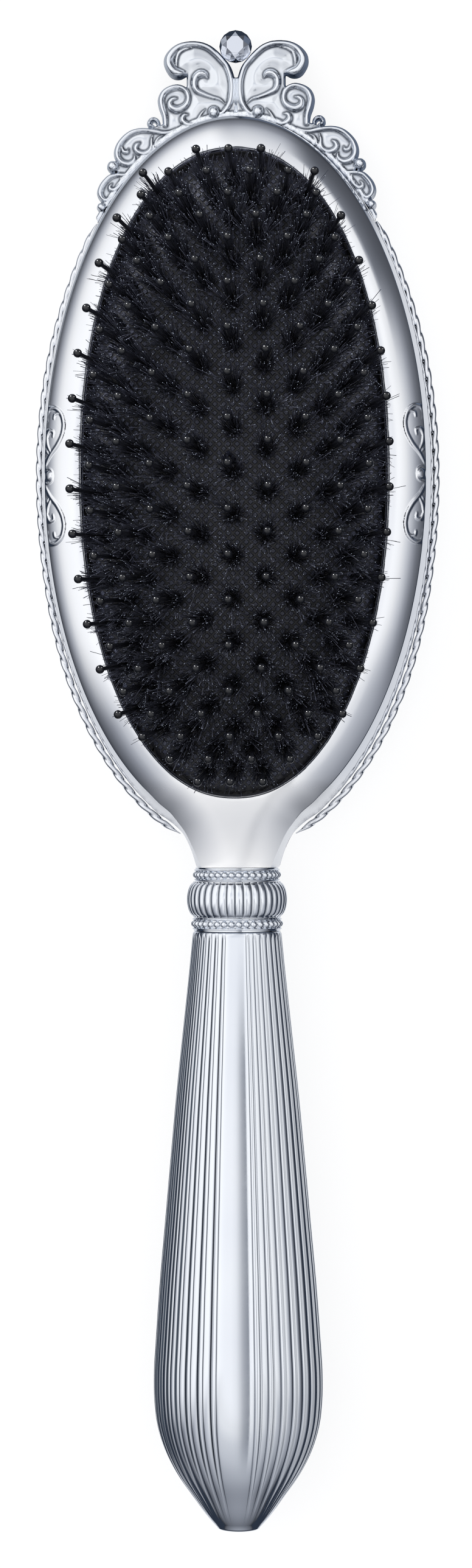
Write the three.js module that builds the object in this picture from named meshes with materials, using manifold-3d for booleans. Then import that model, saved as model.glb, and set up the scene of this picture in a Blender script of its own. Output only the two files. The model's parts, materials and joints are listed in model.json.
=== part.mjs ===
// A vanity hairbrush with an air-cushioned oval head, a scrolled crown and a reeded handle.
// Millimetres. X runs across the head, +Y towards the crown, +Z out of the bristles.
// The brush lies on its back: Z = 0 is the flat face of the back plaque.
import * as THREE from "three";
import { mergeVertices } from "three/addons/utils/BufferGeometryUtils.js";
import Module from "manifold-3d";

const wasm = await Module();
wasm.setup();

// ---------------------------------------------------------------- driving sizes
const GAP = 0.3; // between pieces that touch
const HEAD_Y = 48.4; // centre of the oval head
const EDGE = { a: 30.3, b: 56.8, top: 56.8, z: 13.4 }; // crisp outer edge of the front bezel
const FOOT = { a: 31.5, b: 58.9, top: 57.7 }; // where the head shells meet; top: crown's end
const OPENING = { a: 24.2, b: 51.15, power: 2.15 }; // mouth of the bezel, a superellipse
const SEAM_Z = 5.95; // parting plane of the head shells, and the rope's centre
const CREST_Z = 15.9; // highest line of the bezel
const LIP_Z = 13.2; // underside of the bezel's mouth
const SHELL_WALL = 1.8;
const BACK_DEPTH = 4.5; // how far the back bulges below the seam
const NECK_END_Y = -14.1; // where the neck enters the collar
const ROPE = { radius: 0.55, reach: [0.25, 0.45, 0.8], from: 45, to: 163.3 };
const COLLAR = { beadA: 7.1, fluteA: 7.9, lowerA: 7.4, end: -24.0 };
const HANDLE = { top: -24.3, tip: -120, axisZ: 9.8, flatness: 0.7 };
const PAD = { rimZ: 13.3, rise: 6.2, power: 2.4, thick: 1.6, flange: 1.0 };
const QUILL = { shaft: 0.35, ball: 0.7, length: 16, web: 2.9 };
const FIELD = { rows: 15, pitch: 6.7, a: 21, b: 51.6, fan: 13.2, leanX: 0.68, leanY: 0.16 };
const GEM = { y: 117.4, z: 7.3, r: 2.62 };

// ---------------------------------------------------------------- materials
const look = (color, roughness, metalness) =>
  new THREE.MeshStandardMaterial({ color, roughness, metalness });
const chrome = look(0xc9cdd8, 0.12, 1);
const jewel = look(0xdfe3ee, 0.03, 1);
const rubber = look(0x1a1b22, 0.65, 0);
const nylon = look(0x101218, 0.2, 0);
const plastic = look(0x2a2c33, 0.5, 0);
const steel = look(0x9a9da6, 0.35, 1);

// ---------------------------------------------------------------- solids
function toSolid(geometry) {
  const bare = geometry.clone();
  for (const name of ["normal", "uv"]) bare.deleteAttribute(name);
  const merged = mergeVertices(bare, 1e-3);
  const mesh = new wasm.Mesh({
    numProp: 3,
    vertProperties: merged.attributes.position.array,
    triVerts: new Uint32Array(merged.index.array),
  });
  return new wasm.Manifold(mesh);
}

function toGeometry(solid) {
  const mesh = solid.getMesh();
  const geometry = new THREE.BufferGeometry();
  geometry.setAttribute("position", new THREE.BufferAttribute(mesh.vertProperties, 3));
  geometry.setIndex(new THREE.BufferAttribute(mesh.triVerts, 1));
  return geometry;
}

const cut = (geometry, ...tools) =>
  toGeometry(tools.reduce((solid, tool) => solid.subtract(toSolid(tool)), toSolid(geometry)));
const join = (geometry, ...others) =>
  toGeometry(others.reduce((solid, other) => solid.add(toSolid(other)), toSolid(geometry)));

// Skins equal loops of points. A run of loops either closes on itself or is capped at both ends,
// where each cap joins the first half of a loop to its second half.
function skin(loops, closed) {
  const count = loops[0].length;
  const index = [];
  const spans = closed ? loops.length : loops.length - 1;
  for (let i = 0; i < spans; i++) {
    for (let j = 0; j < count; j++) {
      const a = i * count + j;
      const b = i * count + ((j + 1) % count);
      const c = ((i + 1) % loops.length) * count + j;
      const d = ((i + 1) % loops.length) * count + ((j + 1) % count);
      index.push(a, b, c, b, d, c);
    }
  }
  if (!closed) {
    for (const [start, flip] of [[0, true], [(loops.length - 1) * count, false]]) {
      for (let j = 0; j < count / 2 - 1; j++) {
        const a = start + j;
        const b = start + j + 1;
        const c = start + count - 1 - j;
        const d = start + count - 2 - j;
        if (flip) index.push(a, c, b, b, c, d);
        else index.push(a, b, c, b, d, c);
      }
    }
  }
  const geometry = new THREE.BufferGeometry();
  const flat = loops.flat().flatMap((p) => [p.x, p.y, p.z]);
  geometry.setAttribute("position", new THREE.Float32BufferAttribute(flat, 3));
  geometry.setIndex(index);
  return facingOut(geometry);
}

// Turns a closed skin the right way out.
function facingOut(geometry) {
  const p = geometry.attributes.position;
  const index = geometry.index.array;
  const corners = [0, 1, 2].map(() => new THREE.Vector3());
  let volume = 0;
  for (let i = 0; i < index.length; i += 3) {
    corners.forEach((corner, k) => corner.fromBufferAttribute(p, index[i + k]));
    volume += corners[0].dot(corners[1].clone().cross(corners[2]));
  }
  if (volume < 0) {
    for (let i = 0; i < index.length; i += 3) {
      [index[i + 1], index[i + 2]] = [index[i + 2], index[i + 1]];
    }
  }
  return toGeometry(toSolid(geometry));
}

const at = (x, y, z) => new THREE.Vector3(x, y, z);
const mix = THREE.MathUtils.lerp;
const radians = THREE.MathUtils.degToRad;

// A solid of rings on one superellipse, grown or shrunk by the inset of each ring.
// Each ring is [inset in mm, z]; an inset of Infinity is the centre.
function ovalSolid(oval, rings, stations = 32) {
  const power = oval.power || 2;
  const loops = [];
  for (let i = 0; i < stations; i++) {
    const turn = (2 * Math.PI * (i + 0.5)) / stations;
    loops.push(rings.map(([inset, z]) => {
      if (inset === Infinity) return at(0, HEAD_Y, z);
      const cos = Math.cos(turn);
      const sin = Math.sin(turn);
      const x = (oval.a - inset) * Math.sign(cos) * Math.abs(cos) ** (2 / power);
      const y = (oval.b - inset) * Math.sign(sin) * Math.abs(sin) ** (2 / power);
      return at(x, HEAD_Y + y, z);
    }));
  }
  return skin(loops, true);
}

// ---------------------------------------------------------------- outline of the head and neck
// The oval reaches b towards the neck and top towards the crown.
const reachAt = (oval, turn, more = 0) => (Math.cos(turn) > 0 ? oval.top : oval.b) + more;

// Right half of the bezel's edge and of the foot line, from the top of the oval to the neck's end.
const OVAL_STEPS = 14;
const OVAL_END = Math.acos(-0.89);
const NECK_EDGE = [
  [12.2, -3.8], [10.4, -5.35], [9.2, -6.9], [8.0, -8.6], [6.7, -11.3], [5.5, NECK_END_Y],
];
const NECK_FOOT = [
  [13.0, -5.35], [11.1, -6.65], [9.6, -7.9], [8.6, -9.1], [7.5, -11.4], [6.65, NECK_END_Y],
];

function halfOutline(oval, neck) {
  const points = [];
  for (let i = 0; i <= OVAL_STEPS; i++) {
    const turn = (OVAL_END * i) / OVAL_STEPS;
    points.push([oval.a * Math.sin(turn), HEAD_Y + reachAt(oval, turn) * Math.cos(turn)]);
  }
  return points.concat(neck);
}

const edgeSide = halfOutline(EDGE, NECK_EDGE);
const footSide = halfOutline(FOOT, NECK_FOOT);

// Both sides and the flat end of the neck, as matching stations round the head.
function fullOutline(side) {
  const end = side.at(-1)[0];
  const half = side.concat([[end / 2, NECK_END_Y]]);
  const left = half.slice(1).reverse().map(([x, y]) => [-x, y]);
  return half.concat([[0, NECK_END_Y]], left);
}

const edgeLine = fullOutline(edgeSide);
const footLine = fullOutline(footSide);

// 0 at the middle of the bezel's mouth and 1 on its rim.
function openingRadius(x, y) {
  const across = (Math.abs(x) / OPENING.a) ** OPENING.power;
  const along = (Math.abs(y - HEAD_Y) / OPENING.b) ** OPENING.power;
  return (across + along) ** (1 / OPENING.power);
}

const openingLine = edgeLine.map(([x, y]) => {
  const share = openingRadius(x, y);
  return [x / share, HEAD_Y + (y - HEAD_Y) / share];
});

// Distance from a point to the nearest side of an outline, leaving out the neck's flat end.
function sideDistance(side, x, y) {
  const point = at(Math.abs(x), y, 0);
  let least = Infinity;
  for (let i = 1; i < side.length; i++) {
    const line = new THREE.Line3(at(...side[i - 1], 0), at(...side[i], 0));
    const near = line.closestPointToPoint(point, true, at(0, 0, 0));
    least = Math.min(least, near.distanceTo(point));
  }
  return least;
}

// 0 over the head and 1 where the neck enters the collar.
const neckShare = (y) => THREE.MathUtils.smoothstep(-y, 0, -NECK_END_Y);

function bezelTop(x, y) {
  const reach = 6;
  const share = neckShare(y);
  const low = EDGE.z - 0.6 * share;
  const high = CREST_Z - 1.95 * share;
  const depth = Math.min(sideDistance(edgeSide, x, y) / reach, 1);
  const lip = 0.5;
  const fromMouth = Math.hypot(x, y - HEAD_Y) * (1 - 1 / openingRadius(x, y));
  const roll = 0.45 * Math.max(0, 1 - fromMouth / lip) ** 2;
  return mix(low, high, 1 - (1 - depth) ** 2.2) - roll;
}

function backUnder(x, y) {
  const share = neckShare(y);
  const reach = mix(14, 6.6, share);
  const depth = Math.min(sideDistance(footSide, x, y) / reach, 1);
  return SEAM_Z - GAP / 2 - mix(BACK_DEPTH, 2.2, share) * (1 - (1 - depth) ** 2.4);
}

const between = (p, q, share) => [mix(p[0], q[0], share), mix(p[1], q[1], share)];
const inward = (p, distance) => {
  const toCentre = Math.hypot(p[0], p[1] - HEAD_Y);
  return between(p, [0, HEAD_Y], distance / toCentre);
};

// ---------------------------------------------------------------- head
function frontBezel() {
  const topShares = [0, 0.1, 0.25, 0.5, 0.92, 1];
  const underShares = [0.8, 0.45, 0.22];
  const rebate = 0.6;
  const loops = edgeLine.map((edge, i) => {
    const foot = footLine[i];
    const mouth = openingLine[i];
    const groove = inward(foot, rebate);
    const inner = inward(foot, SHELL_WALL);
    const loop = [at(...groove, SEAM_Z + GAP / 2), at(...foot, SEAM_Z + 1.05)];
    for (const share of topShares) {
      const [x, y] = between(edge, mouth, share);
      loop.push(at(x, y, bezelTop(x, y)));
    }
    loop.push(at(...mouth, LIP_Z), at(...between(edge, mouth, 0.88), LIP_Z));
    for (const share of underShares) {
      const [x, y] = between(edge, mouth, share);
      loop.push(at(x, y, bezelTop(x, y) - SHELL_WALL));
    }
    const corner = inward(edge, SHELL_WALL * 0.8);
    loop.push(at(...corner, bezelTop(...edge) - 0.6), at(...inner, SEAM_Z + GAP / 2));
    return loop;
  });
  const tangSlot = new THREE.BoxGeometry(8.4, 6, 6.2).translate(0, NECK_END_Y, 9.6);
  return cut(skin(loops, true), tangSlot);
}

const SCREWS = [-1, 1].flatMap((side) => [-1, 1].map((end) => [12 * side, HEAD_Y + 25 * end]));
const post = (radius, low, high, sides = 12) =>
  new THREE.CylinderGeometry(radius, radius, high - low, sides)
    .rotateX(Math.PI / 2)
    .translate(0, 0, (low + high) / 2);

function backShell() {
  const outerShares = [0.97, 0.9, 0.75];
  const innerShares = [0.75, 0.88];
  const rimZ = SEAM_Z - GAP / 2;
  const loops = footLine.map((foot) => {
    const loop = [at(...inward(foot, 0.6), rimZ), at(...foot, rimZ - 0.75)];
    for (const share of outerShares) {
      const [x, y] = between([0, HEAD_Y], foot, share);
      loop.push(at(x, y, Math.min(backUnder(x, y), rimZ - 0.95)));
    }
    loop.push(at(0, HEAD_Y, rimZ - BACK_DEPTH), at(0, HEAD_Y, rimZ - BACK_DEPTH + SHELL_WALL));
    for (const share of innerShares) {
      const [x, y] = between([0, HEAD_Y], foot, share);
      loop.push(at(x, y, backUnder(x, y) + SHELL_WALL));
    }
    loop.push(at(...inward(foot, SHELL_WALL), rimZ));
    return loop;
  });
  const bosses = SCREWS.map(([x, y]) => post(2.4, 2.4, 5.7).translate(x, y, 0));
  const pilots = SCREWS.map(([x, y]) => post(1.25, 3.4, 7).translate(x, y, 0));
  return cut(join(skin(loops, true), ...bosses), ...pilots);
}

const backPlaque = () =>
  ovalSolid({ a: 15, b: 36 }, [[Infinity, 0], [0.9, 0], [0, 0.5], [0.5, 1], [Infinity, 1]], 36);

// The dish that closes the air chamber behind the pad.
function chamberTray() {
  const rings = [[Infinity, 6.3], [0.2, 6.3], [-0.5, 8.3], [-2.6, 8.3], [-2.6, 9.5]];
  rings.push([-0.4, 9.5], [1.4, 7.5], [Infinity, 7.5]);
  const holes = SCREWS.map(([x, y]) => post(1.25, 5, 9).translate(x, y, 0));
  return cut(ovalSolid(OPENING, rings), ...holes);
}

const cushionRetainer = () =>
  ovalSolid(OPENING, [[0.7, 9.9], [-2.4, 9.9], [-2.4, 10.7], [-1.3, 11.2], [0.4, 11.2]]);

function trayScrew([x, y]) {
  const profile = [[0, 3.7], [0.5, 3.7], [0.9, 4.3], [0.9, 7.8], [1.9, 7.8], [1.6, 8.7], [0, 8.7]];
  const points = profile.map(([r, z]) => new THREE.Vector2(r, z));
  return new THREE.LatheGeometry(points, 10).rotateX(Math.PI / 2).translate(x, y, 0);
}

// How far the rope's centre lies outside the foot line: more towards the neck.
function ropeReach(turn) {
  const [upper, middle, lower] = ROPE.reach;
  const low = THREE.MathUtils.smoothstep(turn, radians(55), radians(75));
  const high = THREE.MathUtils.smoothstep(turn, radians(100), radians(125));
  return upper + (middle - upper) * low + (lower - middle) * high;
}

// One side's moulded rope, from the crown's end round to the neck.
function ropeTrim(side) {
  const start = radians(ROPE.from);
  const end = radians(ROPE.to);
  const route = [];
  for (let i = 0; i <= 30; i++) {
    const turn = mix(start, end, i / 30);
    const reach = ropeReach(turn);
    const x = side * (FOOT.a + reach) * Math.sin(turn);
    route.push(at(x, HEAD_Y + reachAt(FOOT, turn, reach) * Math.cos(turn), SEAM_Z));
  }
  const section = new THREE.Shape();
  section.absarc(0, 0, ROPE.radius, 0, 2 * Math.PI);
  const path = new THREE.CatmullRomCurve3(route);
  return new THREE.ExtrudeGeometry(section, { steps: 30, curveSegments: 3, extrudePath: path });
}

// ---------------------------------------------------------------- crown
// Right half of the crown's outer line, from its lower end up to the cleft between the wings.
const CROWN_SIDE = [
  [22.3, 92.1], [22.4, 93.2], [22.5, 94.4], [21.9, 96.1], [20.6, 97.4], [20.8, 98.7], [19.7, 99.6],
  [19.6, 101.1], [18.2, 103.3], [16.0, 104.6], [14.0, 104.7], [13.8, 105.9], [12.4, 106.2],
  [12.6, 109.2], [12.0, 110.7], [9.5, 111.5], [7.9, 111.6], [7.9, 113.0], [9.3, 112.6], [10.8, 113.4],
  [11.6, 115.3], [10.9, 117.1], [9.0, 118.2], [6.5, 118.4], [4.6, 117.9], [3.2, 116.8], [2.3, 115.4],
  [1.1, 114.0], [0.3, 112.6],
];

function crownPlate() {
  const clear = GAP + 0.1;
  const lower = Math.asin(21.7 / (FOOT.a + clear));
  const outline = CROWN_SIDE.map(([x, y]) => new THREE.Vector2(x, y));
  outline.push(...CROWN_SIDE.toReversed().map(([x, y]) => new THREE.Vector2(-x, y)));
  for (let i = 0; i <= 16; i++) {
    const turn = mix(-lower, lower, i / 16);
    const x = (FOOT.a + clear) * Math.sin(turn);
    outline.push(new THREE.Vector2(x, HEAD_Y + (FOOT.top + clear) * Math.cos(turn)));
  }
  const plate = { depth: 1.8, bevelEnabled: true, bevelThickness: 0.4, bevelSize: 0.3, bevelSegments: 1 };
  plate.bevelOffset = -0.3;
  return new THREE.ExtrudeGeometry(new THREE.Shape(outline), plate).translate(0, 0, 5.6);
}

function crownGem() {
  const profile = [[0, -2], [1.4, -2], [2.3, -1.1], [GEM.r, 0], [2.3, 1.1], [1.4, 2], [0, 2]];
  const points = profile.map(([r, h]) => new THREE.Vector2(r, h));
  return new THREE.LatheGeometry(points, 8).rotateX(Math.PI / 2).translate(0, GEM.y, GEM.z);
}

// ---------------------------------------------------------------- collar and handle
// A ring round the handle's axis, of [half-width, y] points, as flat as the handle is.
function collarRing(profile, sides = 32) {
  const loops = [];
  for (let i = 0; i < sides; i++) {
    const turn = (2 * Math.PI * (i + 0.5)) / sides;
    loops.push(profile.map(([a, y]) => {
      const b = a * HANDLE.flatness + 0.9;
      return at(a * Math.cos(turn), y, HANDLE.axisZ + b * Math.sin(turn));
    }));
  }
  return skin(loops, true);
}

const BORE = 5.0;
const upperBeadRing = () =>
  collarRing([[BORE, -14.4], [6.5, -14.4], [COLLAR.beadA, -15.3], [6.5, -16.2], [BORE, -16.2]]);
const flutedRing = () => collarRing([
  [BORE, -16.5], [6.9, -16.5], [7.6, -17.7], [COLLAR.fluteA, -19.25], [7.6, -20.8], [6.9, -21.9],
  [BORE, -21.9],
]);
const lowerBeadRing = () =>
  collarRing([[BORE, -22.2], [6.8, -22.2], [COLLAR.lowerA, -23.1], [6.8, COLLAR.end], [BORE, COLLAR.end]]);

// Half-width of the handle at its stations, as [y, half-width].
const HANDLE_SIDE = [
  [HANDLE.top, 7.05], [-30.8, 7.7], [-40.5, 8.75], [-50.3, 9.8], [-60, 10.7], [-70, 11.6], [-80, 12.5],
  [-89, 13.15], [-95, 13.5], [-99, 13.45], [-103, 13.0], [-107, 11.8], [-110.6, 10.0], [-114.5, 7.3],
  [-118.5, 4.25], [HANDLE.tip, 2.4],
];
const REEDS = 18; // across one half, each one facet

// One half of the handle's form, drawn in by a wall. side is 1 in front and -1 behind.
function halfForm(side, stations, wall, splitZ, facets) {
  const loops = stations.map(([y, a]) => {
    const loop = [];
    for (let i = 0; i <= facets; i++) {
      const turn = (Math.PI * i) / facets;
      const z = (a * HANDLE.flatness - wall) * Math.sin(turn);
      loop.push(at((a - wall) * Math.cos(turn), y, HANDLE.axisZ + side * Math.max(z, 0) + splitZ));
    }
    return loop;
  });
  return skin(loops, false);
}

function handleShell(side) {
  const half = halfForm(side, HANDLE_SIDE, 0, (side * GAP) / 2, REEDS);
  const hollow = HANDLE_SIDE.slice(0, -2).filter((_, i) => i % 2);
  hollow.unshift([HANDLE.top + 1, 7.0]);
  const room = halfForm(side, hollow, SHELL_WALL, (-side * GAP) / 2, REEDS / 2);
  return cut(half, room);
}

function neckTang() {
  const outline = [[4.1, -6], [4.1, -9.6], [3.2, -10.4], [3.2, -60], [2.2, -62]];
  const shape = new THREE.Shape(outline.map(([x, y]) => new THREE.Vector2(x, y)));
  for (const [x, y] of outline.toReversed()) shape.lineTo(-x, y);
  const hole = new THREE.Path();
  hole.absarc(0, -40, 1.35, 0, 2 * Math.PI);
  shape.holes.push(hole);
  const bar = { depth: 4.4, bevelEnabled: false, curveSegments: 6 };
  return new THREE.ExtrudeGeometry(shape, bar).translate(0, 0, HANDLE.axisZ - 2.2);
}

const tangPin = () => post(1, HANDLE.axisZ - 3.9, HANDLE.axisZ + 3.9).translate(0, -40, 0);

// ---------------------------------------------------------------- cushion and quills
const padTop = (x, y) =>
  PAD.rimZ + PAD.rise * (1 - Math.min(openingRadius(x, y), 1) ** PAD.power);

// Where the quills of one row stand on the pad, left to right. Odd columns sit half a pitch on.
function quillPlaces(row) {
  const places = [];
  for (let column = -5; column <= 5; column++) {
    const odd = Math.abs(column) % 2;
    const y = (row - (FIELD.rows - 1) / 2 + odd / 2) * FIELD.pitch;
    const last = row === FIELD.rows - 1;
    const first = row === 0;
    if ((last && odd) || ((first || last) && Math.abs(column) > 3)) continue;
    const room = FIELD.a * Math.sqrt(1 - (y / FIELD.b) ** 2);
    const spread = Math.sin(radians(FIELD.fan * column)) / Math.sin(radians(FIELD.fan * 5));
    places.push([room * spread, HEAD_Y + y]);
  }
  return places;
}

// The way a quill leans: outwards, more so near the edge of the pad.
function quillLean(x, y) {
  const leanX = Math.sin(radians(FIELD.leanX * x));
  const leanY = Math.sin(radians(FIELD.leanY * (y - HEAD_Y)));
  return at(leanX, leanY, Math.sqrt(1 - leanX ** 2 - leanY ** 2));
}

function alongQuill(geometry, x, y) {
  const turn = new THREE.Quaternion().setFromUnitVectors(at(0, 1, 0), quillLean(x, y));
  return geometry.applyQuaternion(turn).translate(x, y, padTop(x, y));
}

function quill(x, y) {
  const { shaft, ball, length, web } = QUILL;
  const profile = [[0, -web - 0.3], [shaft, -web - 0.3], [shaft, length - 2 * ball]];
  profile.push([ball, length - ball], [0, length]);
  const points = profile.map(([r, h]) => new THREE.Vector2(r, h));
  return alongQuill(new THREE.LatheGeometry(points, 4), x, y);
}

// The strip under the pad that a row's feet share: square in section, and mitred at every foot.
function quillStrip(feet) {
  const half = 0.42;
  const loops = feet.map((foot, i) => {
    const before = feet[Math.max(i - 1, 0)];
    const after = feet[Math.min(i + 1, feet.length - 1)];
    const into = foot.clone().sub(before).setZ(0).normalize();
    const out = after.clone().sub(foot).setZ(0).normalize();
    const along = into.add(out).normalize();
    const end = i === 0 ? -0.5 : i === feet.length - 1 ? 0.5 : 0;
    const p = foot.clone().addScaledVector(along, end);
    const corner = (side, lift) => at(p.x - along.y * side, p.y + along.x * side, p.z + lift);
    return [corner(-half, -half), corner(half, -half), corner(half, half), corner(-half, half)];
  });
  return skin(loops, false);
}

// A row's quills on their strip.
function quillRow(row) {
  const places = quillPlaces(row);
  const feet = places.map(([x, y]) => {
    const surface = at(x, y, padTop(x, y));
    return surface.addScaledVector(quillLean(x, y), -QUILL.web);
  });
  return join(quillStrip(feet), ...places.map(([x, y]) => quill(x, y)));
}

function cushionPad() {
  const shares = [0, 0.6, 0.88];
  const inset = 0.35;
  const zAt = (share) => PAD.rimZ + PAD.rise * (1 - share ** PAD.power);
  const loops = [];
  const stations = 20;
  const rings = shares.map((share) => [share, zAt(share)]);
  rings.push([1 - inset / OPENING.a, zAt(1 - inset / OPENING.a)], [1 - inset / OPENING.a, 12.8]);
  rings.push([1 + PAD.flange / OPENING.a, 12.8], [1 + PAD.flange / OPENING.a, 11.5], [0.97, 11.5]);
  for (const share of shares.toReversed()) rings.push([share * 0.97, zAt(share) - PAD.thick]);
  for (let i = 0; i < stations; i++) {
    const turn = (2 * Math.PI * (i + 0.5)) / stations;
    const cos = Math.cos(turn);
    const sin = Math.sin(turn);
    const x = OPENING.a * Math.sign(cos) * Math.abs(cos) ** (2 / OPENING.power);
    const y = OPENING.b * Math.sign(sin) * Math.abs(sin) ** (2 / OPENING.power);
    loops.push(rings.map(([share, z]) => at(x * share, HEAD_Y + y * share, z)));
  }
  const holes = [];
  for (let row = 0; row < FIELD.rows; row++) {
    for (const [x, y] of quillPlaces(row)) {
      const hole = new THREE.CylinderGeometry(0.95, 0.95, 6, 4).translate(0, -0.8, 0);
      holes.push(alongQuill(hole, x, y));
    }
  }
  const vent = post(0.9, 15, 22, 6).translate(-0.5, 50.2, 0);
  return cut(skin(loops, true), ...holes, vent);
}

// ---------------------------------------------------------------- assembly
function piece(name, geometry, material) {
  const mesh = new THREE.Mesh(geometry, material);
  mesh.name = name;
  return mesh;
}

const head = new THREE.Group();
head.add(
  piece("back_shell", backShell(), chrome),
  piece("back_plaque", backPlaque(), chrome),
  piece("front_bezel", frontBezel(), chrome),
  piece("rope_trim_left", ropeTrim(-1), chrome),
  piece("rope_trim_right", ropeTrim(1), chrome),
  piece("crown_plate", crownPlate(), chrome),
  piece("crown_gem", crownGem(), jewel),
  piece("chamber_tray", chamberTray(), plastic),
  piece("cushion_retainer", cushionRetainer(), plastic),
);
SCREWS.forEach((place, i) => head.add(piece(`tray_screw_${i + 1}`, trayScrew(place), steel)));

const handle = new THREE.Group();
handle.add(
  piece("neck_tang", neckTang(), steel),
  piece("tang_pin", tangPin(), steel),
  piece("collar_upper_bead_ring", upperBeadRing(), chrome),
  piece("collar_fluted_ring", flutedRing(), chrome),
  piece("collar_lower_bead_ring", lowerBeadRing(), chrome),
  piece("handle_front_shell", handleShell(1), chrome),
  piece("handle_back_shell", handleShell(-1), chrome),
);

const cushion = new THREE.Group();
cushion.add(piece("cushion_pad", cushionPad(), rubber));
for (let row = 0; row < FIELD.rows; row++) {
  const name = `quill_row_${String(row + 1).padStart(2, "0")}`;
  cushion.add(piece(name, quillRow(row), nylon));
}

const group = new THREE.Group();
group.add(head, handle, cushion);
export default group;
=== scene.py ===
"""A vanity hairbrush: chrome head, crown, collar and reeded handle round an air-cushioned brush.

Shapes are worked out in millimetres, in the CAD's frame, and turned into metres when a mesh is made.
"""

import json
import math

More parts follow.
